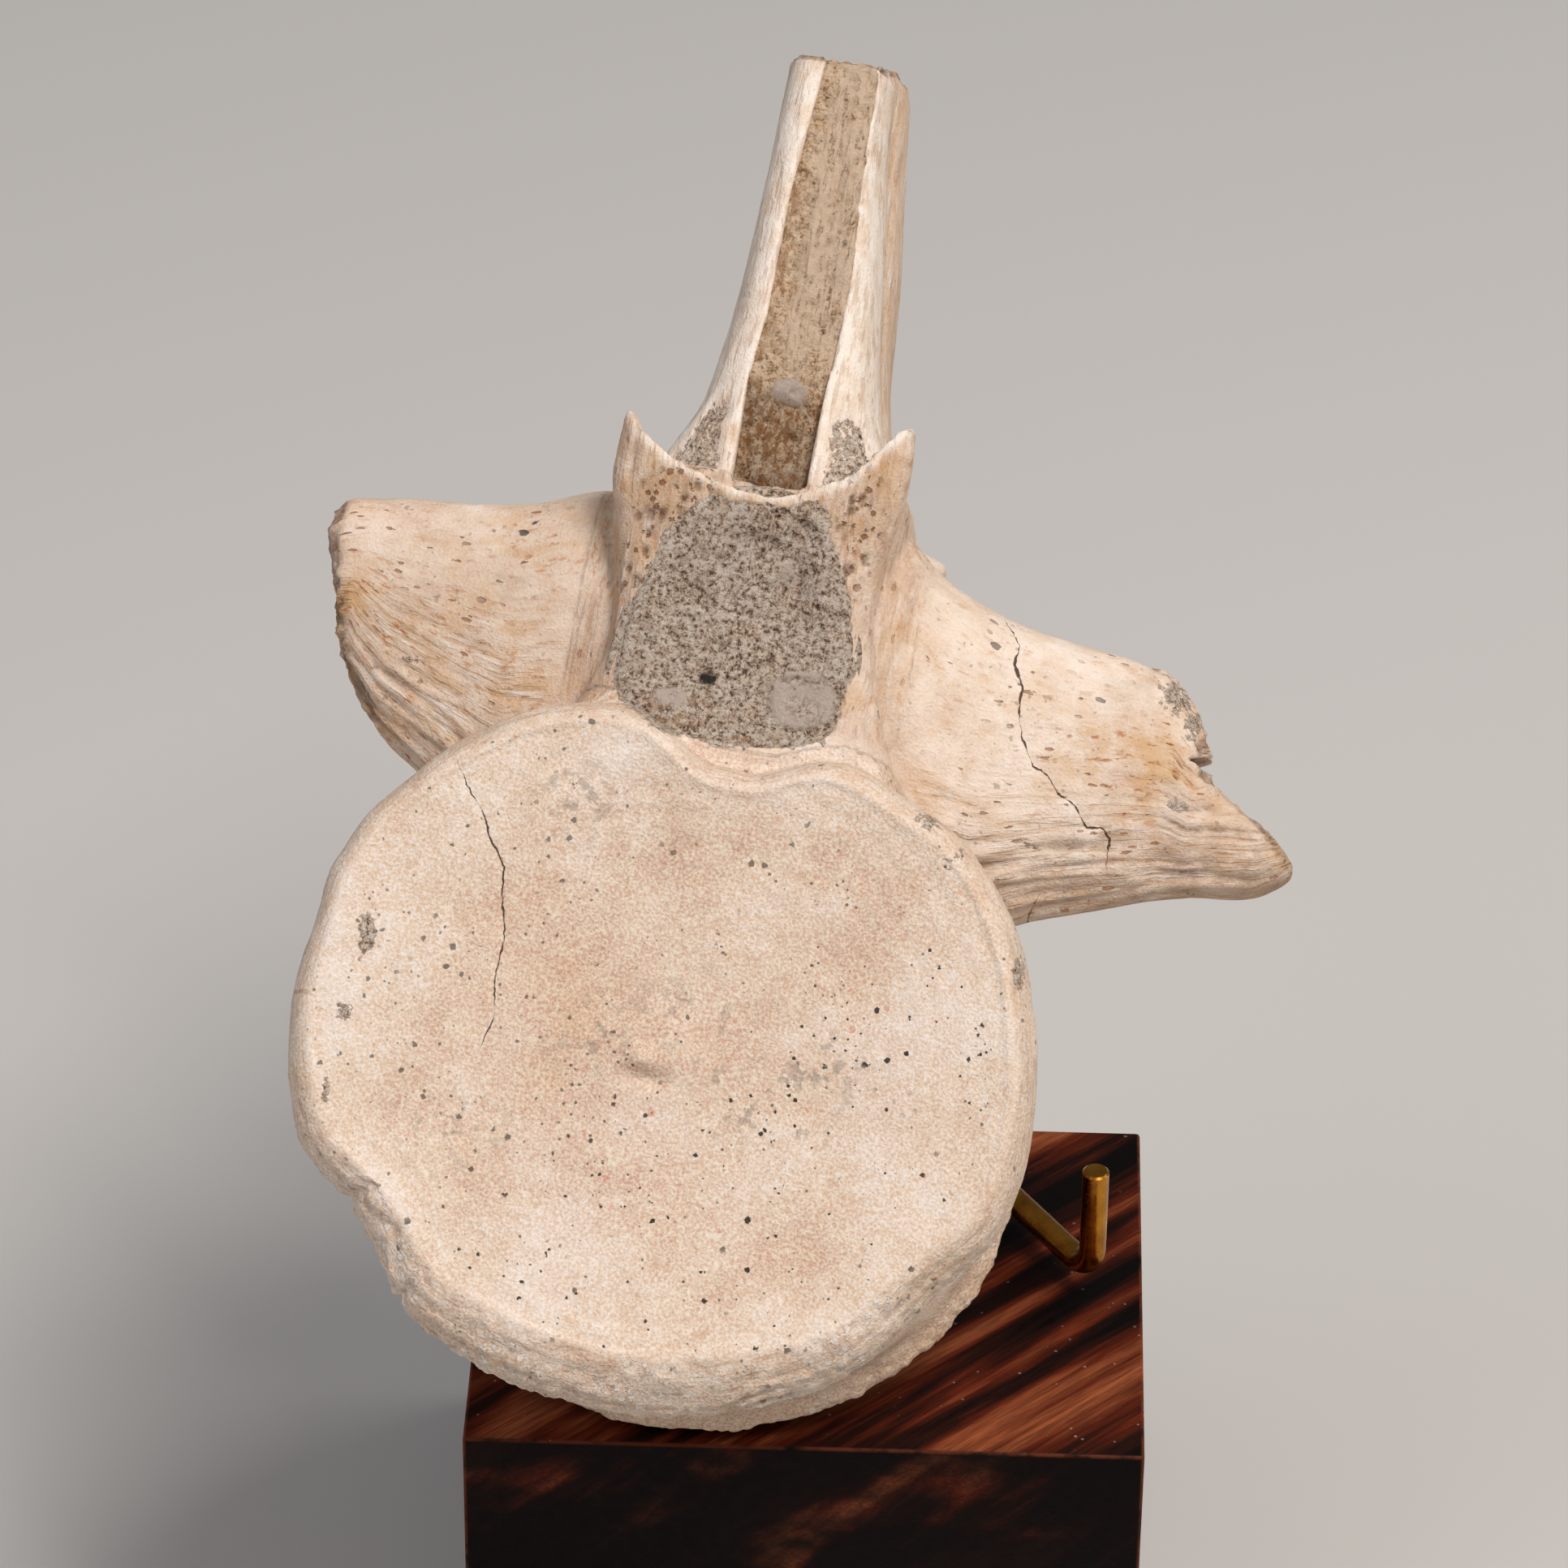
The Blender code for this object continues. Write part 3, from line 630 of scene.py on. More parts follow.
@dataclass(frozen=True)
class RockFillFinish(Finish):
    """The sandstone left as it was found in the bone's hollows.

    It gives the eye the stone's grit, with rust stains and pale shell or bone in it.
    """

    stone: Sandstone = Sandstone()
    layers: tuple[Stain | Specks, ...] = (
        Stain("#A8713F", "stain", (1.7, 0.9, 0.9), (0.45, 0.60), 0.8, 0.0, Pattern.FIBRE),
        Stain("#F9DCBE", "strand", (6.0, 0.6, 0.6), (0.36, 0.52), 0.92, 0.3, Pattern.FIBRE, 4.0),
        Stain("#DDCCBD", "shell", (1.2, 1.2, 1.2), (0.20, 0.50), 0.92, 0.3, Pattern.OWN, 5.0),
        Specks("#2B2420", "pits", (2.6, 2.6, 2.6), 0.15, 6.0, 0.9, -0.4, Pattern.OWN, 0.5),
        # Painted shade: near black in a small hole of the canal rock and at the sunken foot of the spine's channel
        Stain("#201B19", "hole_shade", (1.5, 1.5, 1.5), (0.25, 0.45), 0.95, -0.1),
    )

    def material(self) -> bpy.types.Material:
        """Build the material from the stone and its marks."""
        base, made = self.start(3.0, ((0.0, self.stone.middle), (1.0, self.stone.light)))
        base = self.stone.lay(base, 1.0)
        for layer in self.layers:
            base = layer.lay(base)
        self.end(made, base, (0.86, 0.97), 0.2, 1.0)
        return made


@dataclass(frozen=True)
class DarkHardwoodFinish(Finish):
    """Figured dark tropical hardwood, planed, sanded and oiled.

    It gives the eye deep red-brown with near-black wavy growth bands and a low satin sheen. Its front face is painted
    nearly black as painted shade.
    """

    # Nearly black: the painted shade of the front face
    black: str = "#080201"
    light: str = "#7C3A20"
    dust: str = "#C9BFB4"
    tones: tuple[tuple[float, str], ...] = ((0.2, "#3A1206"), (0.8, "#4E1D0D"))
    figure: tuple[tuple[float, str], ...] = (
        (0.38, "#070201"),
        (0.47, "#260B04"),
        (0.55, "#561E0B"),
        (0.68, "#8A4A2C"),
    )

    def material(self) -> bpy.types.Material:
        """Build the material from growth bands, pores, painted shade on the front face, worn edges and dust."""
        base, made = self.start(14.0, self.tones)
        tree = base.tree
        bands = base.noise((60.0, 4.2, 26.0), 4.0, 0.5, Pattern.FIBRE)
        bands.node.inputs["Distortion"].default_value = 0.35
        colour = add_node(tree, "ValToRGB", {"Fac": bands, "stops": self.figure})
        pores = base.noise((7.0, 0.45, 0.45), 3.0, 0.7, Pattern.FIBRE)
        base = Surface(tree, colour, pores)
        lines = add_node(tree, "ValToRGB", {"Fac": pores, "stops": ((0.36, 0.22), (0.64, 0.64))})
        base = base.with_mark(0.8, lines, 0.0, "OVERLAY")
        # Painted shade: the front face is laid nearly black, as if little light reached it
        base = Stain(self.black, "front_shade", (22.0, 9.0, 12.0), (0.78, 0.50), 0.97).lay(base)
        base = Stain(self.light, "worn", (4.0, 4.0, 4.0), (0.3, 0.6), 0.7).lay(base)
        base = Specks(self.dust, "dust", (1.6, 1.6, 1.6), 0.14, 5.0, 0.9, 0.05, Pattern.OWN, 0.6).lay(base)
        self.end(made, base, (0.46, 0.6), 0.1, 0.12)
        return made


@dataclass(frozen=True)
class BrassFinish(Finish):
    """Drawn brass rod, polished by hand and a little tarnished.

    It gives the eye a warm gold with dark soft-edged reflections.
    """

    tones: tuple[tuple[float, str], ...] = ((0.30, "#8E5A1C"), (0.60, "#CB8D34"))

    def material(self) -> bpy.types.Material:
        """Build the material from the bare metal and its tarnish."""
        base, made = self.start(4.5, self.tones)
        self.end(made, base, (0.2, 0.34), 0.5, 0.02)
        made.node_tree.nodes["Principled BSDF"].inputs["Metallic"].default_value = 1.0
        return made


@dataclass(frozen=True)
class BoneFrame:
    """Where the bone sits on its stand."""

    disc_centre: tuple[float, float, float] = (-15.14, -53.17, 119.42)
    dip: float = 41.67
    turn: float = 2.72
    roll: float = 6.5

    def matrix(self) -> Matrix:
        """The transform from the bone's metres to the part's."""
        dip, turn, roll = (math.radians(angle) for angle in (self.dip, self.turn, self.roll))
        rear = Vector((math.sin(turn) * math.cos(dip), math.cos(turn) * math.cos(dip), -math.sin(dip)))
        level = rear.cross(Vector((0.0, 0.0, 1.0))).normalized()
        lift = level.cross(rear)
        right = math.cos(roll) * level - math.sin(roll) * lift
        dorsal = math.sin(roll) * level + math.cos(roll) * lift
        placed = Matrix((right, rear, dorsal)).transposed().to_4x4()
        placed.translation = Vector(self.disc_centre) * MM
        return placed

    def place(self, piece: bpy.types.Object, box: Sequence[Sequence[float]]) -> None:
        """Move a piece's mesh onto the stand and rub down what would stand out of a box in metres."""
        piece.data.transform(self.matrix())
        low, high = (np.array(corner) / MM for corner in box)
        write_points(piece, np.clip(read_mesh(piece)[0], low + 0.05, high - 0.05))


@dataclass
class Centrum:
    """The spool of the bone: dished front disc, lipped rims, waist and domed rear."""

    half_width: float = 41.2
    half_height: float = 38.9
    dish: float = 3.0
    boss: float = 1.0
    boss_spread: float = 0.12
    rear_half_width: float = 40.3
    rear_half_height: float = 39.4
    rear_rim_y: float = 67.0
    condyle_height: float = 13.5
    waist: float = 9.5
    waist_extra_below: float = 1.5
    band: float = 2.2
    band_below: float = 3.4
    sides: int = 360
    spool_start_y: float = 8.5
    face_steps: tuple[float, ...] = (0.02, 0.08, 0.2, 0.4, 0.6, 0.8, 0.92, 1.0)
    condyle_steps: tuple[float, ...] = (0.96, 0.88, 0.76, 0.6, 0.42, 0.22, 0.03)
    lip_steps: Levels = ((1.6, 0.35), (3.6, 0.05), (5.6, 0.0), (8.5, 0.6))
    spool_steps: tuple[float, ...] = (13.0, 19.0, 25.0, 31.0, 38.0, 45.0, 52.0, 58.0, 62.5)
    rear_rim_steps: Levels = ((-2.0, 0.0), (0.0, 0.4), (1.4, 2.6))
    rear_dips: Levels = ((90.0, 5.0, 22.0), (-2.0, 1.6, 20.0))
    rim_dips: Levels = (
        (87.0, 6.6, 14.0),
        (62.0, 1.2, 12.0),
        (131.0, -1.7, 20.0),
        (156.0, -1.5, 10.0),
        (-170.0, -0.5, 22.0),
        (-142.0, 2.4, 11.0),
        (-33.0, 1.5, 10.0),
        (8.0, 0.8, 16.0),
    )

    def rim(self, angles: np.ndarray, half_width: float, half_height: float, dips: Levels) -> np.ndarray:
        """Radius of a rim: an ellipse less its dips.

        Args:
            angles: places round the rim in degrees from the viewer's right.
            half_width: the ellipse's reach in x.
            half_height: the ellipse's reach in z.
            dips: an angle, a depth and a half width in degrees for each.

        Returns:
            The radius at each angle.
        """
        turned = np.radians(angles)
        radius = 1.0 / np.sqrt((np.cos(turned) / half_width) ** 2 + (np.sin(turned) / half_height) ** 2)
        for centre, depth, half in dips:
            away = (angles - centre + 180.0) % 360.0 - 180.0
            radius = radius - depth * np.exp(-np.abs(away / half) ** 3)
        return radius

    def front_rim(self, angles: np.ndarray) -> np.ndarray:
        """Radius of the front rim at angles in degrees."""
        return self.rim(angles, self.half_width, self.half_height, self.rim_dips)

    def band_width(self, angles: np.ndarray) -> np.ndarray:
        """How far the face's lip stays inside the rim, wider below."""
        return self.band + self.band_below * np.clip(-np.sin(np.radians(angles)), 0.0, 1.0) ** 1.5

    def lobe(self) -> bpy.types.Object:
        """The spool as one closed loft."""
        angles = np.linspace(0.0, 360.0, self.sides, endpoint=False)
        turned = np.radians(angles)
        front = self.front_rim(angles)
        rear = self.rim(angles, self.rear_half_width, self.rear_half_height, self.rear_dips)
        band = self.band_width(angles)
        waist = self.waist + self.waist_extra_below * np.clip(-np.sin(turned), 0.0, 1.0) ** 1.5
        outlines = []
        for part in self.face_steps:
            dish = self.dish * (1.0 - part ** 2) - self.boss * math.exp(-((part / self.boss_spread) ** 2))
            outlines.append((*((front - band) * part), dish))
        for y, inward in self.lip_steps:
            outlines.append((*(front - band * inward), y))
        for y in self.spool_steps:
            blend = (y - self.spool_start_y) / (self.rear_rim_y - self.spool_start_y)
            straight = front * (1.0 - blend) + rear * blend
            outlines.append((*(straight - waist * math.sin(math.pi * blend) ** 1.1), y))
        for past, inward in self.rear_rim_steps:
            outlines.append((*(rear - inward), self.rear_rim_y + past))
        last_past, last_inward = self.rear_rim_steps[-1]
        for part in self.condyle_steps:
            rise = (self.condyle_height - last_past) * math.sqrt(1.0 - part ** 2)
            outlines.append((*((rear - last_inward) * part), self.rear_rim_y + last_past + rise))
        rows = smooth_levels(np.array(outlines), 4 * len(outlines))
        radius, y = rows[:, :-1], rows[:, -1:]
        rings = np.stack((radius * np.cos(turned), y + 0.0 * radius, radius * np.sin(turned)), axis=2)
        return loft("lobe_centrum", rings)


@dataclass
class UprightLobe:
    """A form that rises along z, from levels of height, one x, other x, front y and rear y."""

    name: str
    levels: Levels
    power: float
    count: int = 60
    sides: int = 80

    def lobe(self) -> bpy.types.Object:
        """The form as one closed loft."""
        shape = rounded_ring(self.sides, self.power)
        rings = []
        for height, left, right, front, rear in smooth_levels(self.levels, self.count):
            x = (left + right) / 2.0 + shape[:, 0] * (right - left) / 2.0
            y = (front + rear) / 2.0 + shape[:, 1] * (rear - front) / 2.0
            rings.append(np.stack((x, y, np.full(self.sides, height)), axis=1))
        return loft(self.name, rings)


@dataclass
class SideLobe:
    """A form that reaches out along x, from levels of distance, top z, bottom z, front y and rear y."""

    name: str
    levels: Levels
    side: Side
    power: float
    count: int = 70
    sides: int = 80

    def lobe(self) -> bpy.types.Object:
        """The form as one closed loft."""
        shape = rounded_ring(self.sides, self.power)
        rings = []
        for out, top, bottom, front, rear in smooth_levels(self.levels, self.count):
            y = (front + rear) / 2.0 + shape[:, 0] * (rear - front) / 2.0
            z = (top + bottom) / 2.0 + shape[:, 1] * (top - bottom) / 2.0
            rings.append(np.stack((np.full(self.sides, self.side.value * out), y, z), axis=1))
        return loft(self.name, rings)

    def height_part(self, points: np.ndarray, least: float = 20.0) -> np.ndarray:
        """How high a point lies between the form's bottom edge at -1 and its top edge at 1.

        Args:
            points: places on the bone.
            least: the edges count as this far apart at least, measured from the longer one.

        Returns:
            The height at each point.
        """
        table = np.array(self.levels)
        out = points[:, 0] * self.side.value
        top = np.interp(out, table[:, 0], table[:, 1])
        bottom = np.interp(out, table[:, 0], table[:, 2])
        span = np.maximum(top - bottom, least)
        if self.side is Side.LEFT:
            return 1.0 - (top - points[:, 2]) / span * 2.0
        return (points[:, 2] - bottom) / span * 2.0 - 1.0

    def fibre_place(self, points: np.ndarray) -> np.ndarray:
        """Coordinates along and across the form, so that fibres follow its taper."""
        out = points[:, 0] * self.side.value
        return np.stack((out, self.height_part(points) * 15.0, points[:, 1] * 0.4), axis=1)

    def inside(self, points: np.ndarray, start: float) -> np.ndarray:
        """A mask of the form from a distance outwards."""
        out = points[:, 0] * self.side.value
        return smoothstep(start, start + 7.0, out) * smoothstep(70.0, 64.0, points[:, 2])

    def end_distance(self, points: np.ndarray, column: int) -> np.ndarray:
        """Distance inwards from the broken end, which runs along the tops or bottoms of the levels."""
        table = np.array(self.levels)[3:]
        order = np.argsort(table[:, column])
        end = np.interp(points[:, 2], table[order, column], table[order, 0])
        return end - points[:, 0] * self.side.value


ARCH = UprightLobe(
    "lobe_arch",
    (
        (24.0, -25.0, 25.0, 8.0, 52.0),
        (33.0, -21.5, 21.5, 4.2, 52.0),
        (37.5, -18.0, 18.0, 4.6, 50.0),
        (42.0, -15.6, 15.6, 6.0, 47.5),
        (48.0, -15.0, 14.4, 7.0, 46.0),
        (54.0, -15.9, 13.9, 7.2, 47.0),
        (60.0, -17.2, 14.8, 6.4, 50.0),
        (64.5, -17.0, 15.2, 6.2, 52.0),
        (66.5, -16.0, 15.0, 7.4, 50.0),
    ),
    5.0,
)
HORNS = UprightLobe(
    "lobe_horns",
    (
        (34.0, -19.0, 19.5, 4.6, 26.0),
        (42.0, -15.6, 16.0, 5.6, 26.0),
        (50.0, -15.4, 14.2, 6.4, 26.0),
        (57.0, -16.6, 13.6, 6.0, 25.0),
        (63.0, -17.6, 14.5, 5.0, 20.0),
        (67.0, -17.2, 14.9, 4.6, 14.0),
        (70.0, -16.9, 15.0, 4.8, 10.5),
        (73.0, -16.6, 14.8, 5.0, 8.5),
    ),
    5.0,
)
SPINE = UprightLobe(
    "lobe_spine",
    (
        (61.5, -16.5, 16.0, 20.0, 58.0),
        (66.0, -15.4, 14.4, 17.0, 57.0),
        (70.0, -13.5, 12.2, 17.2, 56.0),
        (75.0, -11.2, 9.8, 18.0, 55.0),
        (82.0, -9.9, 8.2, 19.4, 54.5),
        (92.0, -9.1, 6.7, 21.3, 55.0),
        (104.0, -8.6, 5.2, 23.6, 56.5),
        (113.0, -8.5, 4.2, 25.2, 57.0),
        (117.7, -8.5, 3.9, 26.2, 57.0),
    ),
    4.0,
)
SPINE_REAR = UprightLobe(
    "lobe_spine_rear",
    (
        (66.0, -10.0, 13.0, 32.0, 57.0),
        (75.0, -8.5, 10.4, 32.0, 56.0),
        (84.0, -7.5, 8.6, 33.0, 55.5),
        (96.0, -7.0, 7.5, 33.5, 56.5),
        (108.0, -6.8, 6.0, 34.5, 57.0),
        (119.2, -6.6, 4.7, 35.5, 57.0),
    ),
    4.0,
)
LEFT_PROCESS = SideLobe(
    "lobe_process_left",
    (
        (13.5, 63.0, 24.0, 11.0, 44.0),
        (19.5, 63.4, 22.0, 12.0, 42.0),
        (26.5, 60.6, 22.5, 13.4, 36.0),
        (33.0, 59.2, 27.0, 15.0, 31.5),
        (40.3, 58.6, 31.9, 16.5, 29.5),
        (44.0, 58.0, 36.4, 17.0, 29.0),
        (46.6, 57.6, 42.0, 17.3, 28.5),
        (48.2, 57.0, 47.4, 17.8, 28.0),
        (49.6, 55.8, 51.6, 18.6, 27.0),
    ),
    Side.LEFT,
    2.5,
)
RIGHT_PROCESS = SideLobe(
    "lobe_process_right",
    (
        (13.0, 65.4, 22.0, 10.6, 44.0),
        (16.5, 62.6, 20.0, 11.2, 43.0),
        (20.5, 59.4, 19.0, 12.0, 41.0),
        (27.9, 56.1, 19.6, 13.6, 35.0),
        (36.0, 54.5, 23.2, 15.0, 31.5),
        (44.0, 53.7, 25.9, 16.0, 29.5),
        (48.6, 52.4, 27.6, 16.6, 29.0),
        (52.0, 47.6, 28.5, 17.0, 28.6),
        (54.0, 41.4, 28.9, 17.4, 28.0),
        (59.6, 37.9, 29.6, 18.0, 27.4),
        (62.4, 35.4, 31.0, 19.0, 26.2),
        (63.8, 33.8, 32.4, 20.6, 24.6),
    ),
    Side.RIGHT,
    2.5,
)
ZYGAPOPHYSIS_LEVELS: Levels = (
    (2.0, 68.0, 60.5, 44.0, 58.0),
    (9.0, 67.5, 60.0, 46.0, 63.0),
    (14.5, 66.8, 61.6, 49.5, 65.0),
    (18.0, 65.8, 63.4, 54.0, 62.5),
)


def path_offsets(path: Levels | np.ndarray, flat: np.ndarray) -> tuple[np.ndarray, np.ndarray, np.ndarray, float]:
    """How points lie beside a path.

    Args:
        path: its corners, as x and z.
        flat: x and z of each point.

    Returns:
        Each point's distance, that distance with a plus sign to the left of the way along, how far along the
        path it lies, and the path's length.
    """
    nearest = np.full(len(flat), np.inf)
    signed = np.zeros(len(flat))
    along = np.zeros(len(flat))
    travelled = 0.0
    for start, end in zip(path, path[1:]):
        run = np.subtract(end, start)
        length = float(np.linalg.norm(run))
        part = (flat - start) @ run / length ** 2
        away = flat - start - np.clip(part, 0.0, 1.0)[:, None] * run
        distance = np.linalg.norm(away, axis=1)
        side = np.sign(run[0] * away[:, 1] - run[1] * away[:, 0])
        closer = distance < nearest
        signed = np.where(closer, distance * side, signed)
        along = np.where(closer, travelled + part * length, along)
        nearest = np.minimum(nearest, distance)
        travelled += length
    return nearest, signed, along, travelled


@dataclass
class Canal:
    """The neural canal through the arch and the rock that fills it."""

    # The canal's edge in the photograph, as x and z, counter-clockwise from the upper right
    corners: Levels = (
        (5.0, 60.8),
        (-0.5, 61.6),
        (-5.8, 60.4),
        (-9.4, 57.6),
        (-10.9, 52.4),
        (-12.1, 46.2),
        (-12.2, 41.0),
        (-10.4, 37.6),
        (-6.4, 35.7),
        (-0.5, 35.0),
        (6.0, 35.4),
        (10.0, 37.4),
        (11.5, 41.4),
        (11.3, 46.8),
        (9.9, 52.4),
        (8.1, 57.4),
    )
    middle: tuple[float, float] = (-0.5, 48.0)
    reach: float = 12.5
    front_y: float = 7.5
    fill_end_y: float = 45.0
    overlap: float = 2.3
    proud: float = 0.2
    bowl: float = 0.8
    voxel: float = 0.4
    # How far forward the arch's front lies at each height
    front_levels: Levels = ((33.0, 4.5), (37.5, 4.9), (42.0, 5.8), (50.0, 6.6), (57.0, 6.2), (63.0, 5.3), (67.0, 4.9))

    def edge(self) -> np.ndarray:
        """The canal's edge as a smooth closed path of x and z."""
        wrapped = np.array((self.corners[-1], *self.corners, *self.corners[:2]))
        between = 6
        return smooth_levels(wrapped, between * (len(wrapped) - 1) + 1)[between:-between]

    def ring(self, y: float, grow: float) -> np.ndarray:
        """The canal's outline at one y, grown by a distance."""
        flat = np.array(self.middle) + (self.edge()[:-1] - self.middle) * (1.0 + grow / self.reach)
        return np.stack((flat[:, 0], np.full(len(flat), y), flat[:, 1]), axis=1)

    def cutter(self) -> bpy.types.Object:
        """The bar that opens the canal."""
        return loft("cutter_canal", [self.ring(y, 0.0) for y in (-6.0, 60.0)])

    def depth_inside(self, points: np.ndarray) -> np.ndarray:
        """Millimetres inside the canal's edge, seen from the front."""
        return path_offsets(self.edge(), points[:, (0, 2)])[1]

    def fill(self, finish: RockFillFinish) -> bpy.types.Object:
        """The rock, gritty and lapping over the canal's front edge, dressed."""
        places = (self.front_y, self.front_y + 0.8, self.fill_end_y - 1.0, self.fill_end_y)
        grown = (self.overlap - 0.3, self.overlap, 0.4, -1.0)
        plug = loft("lobe_canal_rock", [self.ring(y, grow) for y, grow in zip(places, grown)])
        piece = fuse("canal_rock", [plug], self.voxel, 1)
        points, _ = read_mesh(piece)
        x, y, z = points.T.copy()
        front = smoothstep(self.front_y + 2.5, self.front_y + 0.3, y)
        depth = self.depth_inside(points)
        ragged_depth = depth + 0.9 * np.clip(layered_noise(points, 2.4, 33) + 0.3, 0.0, 1.0)
        table = np.array(self.front_levels)
        sunk = self.bowl * smoothstep(0.8, 5.0, depth) + 1.2 * smoothstep(-0.1, -1.0, ragged_depth) - self.proud
        face = np.interp(z, table[:, 0], table[:, 1]) - self.front_y + sunk
        furrow = blob(points, (4.4, self.front_y, 55.5), (1.5, 9.0, 7.0))
        wander = 0.25 * layered_noise(points, 1.8, 23)
        slab = smoothstep(0.44, 0.54, blob(points, (7.8, self.front_y, 41.0), (4.3, 9.0, 4.0)) + 0.6 * wander)
        split = np.exp(-(((z - 42.6 - 0.1 * x + wander) / 0.3) ** 2)) * slab
        lumps = layered_noise(points, 5.5, 21) * 0.7 + layered_noise(points, 1.6, 27) * 0.45
        holes = pits(points, front, (1.9, 1.9, 1.9), 0.32, 29)
        relief = lumps * (1.0 - 0.7 * slab) + 0.35 * slab - 0.5 * split - 1.1 * furrow - 0.5 * holes * (1.0 - slab)
        points[:, 1] += front * (face - relief * smoothstep(-0.9, 1.0, depth))
        write_points(piece, points)
        ragged = 0.35 * layered_noise(points, 1.1, 31)
        white = smoothstep(0.45, 0.6, blob(points, (-6.3, self.front_y, 39.2), (2.3, 9.0, 1.3)) + ragged)
        chip = smoothstep(0.4, 0.6, blob(points, (3.5, self.front_y, 55.2), (0.9, 9.0, 1.2)) + ragged)
        # A near-black spot painted as the shade of a small hole in the rock
        dark = smoothstep(0.45, 0.6, blob(points, (-3.0, self.front_y, 41.9), (1.3, 9.0, 0.8)) + 0.5 * ragged)
        low = blob(points, (-5.4, self.front_y, 37.4), (3.4, 9.0, 1.6)) + blob(points, (1.6, self.front_y, 35.6), (2.6, 9.0, 1.2))
        sandy = blob(points, (8.4, self.front_y, 40.0), (1.9, 9.0, 1.0))
        layers = {
            Pattern.OWN.value: points,
            Pattern.FIBRE.value: points,
            "shell": np.maximum(slab * (1.0 - split) * (1.0 - 0.9 * sandy), np.maximum(white, chip)),
            "stain": 0.9 * low + 0.12,
            "strand": np.zeros(len(points)),
            "pits": 0.6 * front + 0.3 * furrow,
            "hole_shade": dark,
        }
        paint(piece, layers)
        finish.dress(piece, finish.material())
        return piece


@dataclass
class SpineChannel:
    """The channel down the front of the neural spine and the rock in it."""

    depth: float = 5.0
    recess: float = 0.9
    corner: float = 0.18
    overlap: float = 0.3
    voxel: float = 0.4
    cut_range: tuple[float, float] = (64.0, 124.0)
    fill_range: tuple[float, float] = (64.4, 116.8)
    levels: Levels = (
        (62.0, -5.2, 3.0),
        (77.0, -5.6, 3.3),
        (86.0, -4.8, 3.7),
        (94.0, -4.8, 3.4),
        (101.0, -4.9, 2.8),
        (108.0, -4.4, 2.5),
        (116.0, -3.7, 2.1),
        (124.0, -3.4, 2.0),
    )

    def edges(self, z: np.ndarray | float) -> tuple[np.ndarray, np.ndarray]:
        """The left and right x of the channel at a height."""
        table = np.array(self.levels)
        return np.interp(z, table[:, 0], table[:, 1]), np.interp(z, table[:, 0], table[:, 2])

    def rings(self, gap: float, front_offset: float, low: float, high: float, count: int) -> list[np.ndarray]:
        """Outlines of the channel up along z.

        Args:
            gap: how far the outline stays inside the channel.
            front_offset: where its front lies, in y from the spine's front.
            low: lowest height.
            high: highest height.
            count: number of outlines.

        Returns:
            Rings of six points.
        """
        spine = np.array(SPINE.levels)
        found = []
        for z in np.linspace(low, high, count):
            left, right = self.edges(z)
            left += gap
            right -= gap
            face = np.interp(z, spine[:, 0], spine[:, 3])
            front = face + front_offset
            back = face + self.depth - gap
            soft = (right - left) * self.corner
            found.append(
                np.array(
                    (
                        (left, front, z),
                        (left, back - soft, z),
                        (left + soft, back, z),
                        (right - soft, back, z),
                        (right, back - soft, z),
                        (right, front, z),
                    )
                )
            )
        return found

    def cutter(self) -> bpy.types.Object:
        """The bar that opens the channel."""
        return loft("cutter_channel", self.rings(0.0, -12.0, *self.cut_range, 40))

    def fill(self, finish: RockFillFinish) -> bpy.types.Object:
        """The rock with strands of bone in it, dressed."""
        plug = loft("lobe_spine_rock", self.rings(-self.overlap, self.recess, *self.fill_range, 60))
        piece = fuse("spine_rock", [plug], self.voxel, 1)
        points, normals = read_mesh(piece)
        x, _, z = points.T
        left, right = self.edges(z)
        across = (x - left) / (right - left)
        along = np.stack((z / 8.0, x / 0.9, points[:, 1] / 6.0), axis=1)
        strands = lattice_noise(along, 41) + 0.5 * lattice_noise(along * 2.0, 43)
        upper = smoothstep(78.0, 86.0, z)
        base = smoothstep(79.0, 74.0, z)
        front = smoothstep(0.3, 0.8, -normals[:, 1])
        middle = smoothstep(0.22, 0.4, across + 0.12 * layered_noise(points, 3.0, 47))
        shift = strands * 0.45 * upper * middle + layered_noise(points, 1.5, 45) * (0.75 - 0.35 * upper)
        shift -= 0.6 * pits(points, front, (1.7, 1.7, 1.7), 0.3, 49) + 1.4 * base
        lump = blob(points, (-0.6, 19.0, 77.0), (2.1, 9.0, 1.8))
        points[:, 1] -= front * (shift + 0.6 * lump)
        write_points(piece, points)
        brown = smoothstep(0.35, 0.0, across) * smoothstep(112.0, 100.0, z) * upper
        layers = {
            Pattern.OWN.value: points,
            Pattern.FIBRE.value: np.stack((z, x, points[:, 1]), axis=1),
            "stain": 0.2 + 0.7 * brown + 0.9 * base,
            "shell": smoothstep(0.35, 0.6, lump + 0.3 * layered_noise(points, 1.1, 51)),
            "strand": upper * (0.15 + 0.95 * middle),
            "pits": 0.5 + 0.5 * base,
            # Painted shade at the channel's sunken foot
            "hole_shade": 0.35 * base,
        }
        paint(piece, layers)
        finish.dress(piece, finish.material())
        return piece


@dataclass(frozen=True)
class Crack:
    """A crack as a path in x and z, with how wide it opens."""

    path: Levels
    half_width: float

    def offsets(self, flat: np.ndarray) -> tuple[np.ndarray, np.ndarray, np.ndarray]:
        """How points lie beside the crack.

        Args:
            flat: x and z of each point.

        Returns:
            The distance, that distance with a sign for the side, and 1 along the crack fading to 0 past its ends.
        """
        nearest, signed, along, length = path_offsets(self.path, flat)
        reach = smoothstep(-0.6, 2.5, along) * smoothstep(length + 0.6, length - 4.0, along)
        return nearest, signed, reach


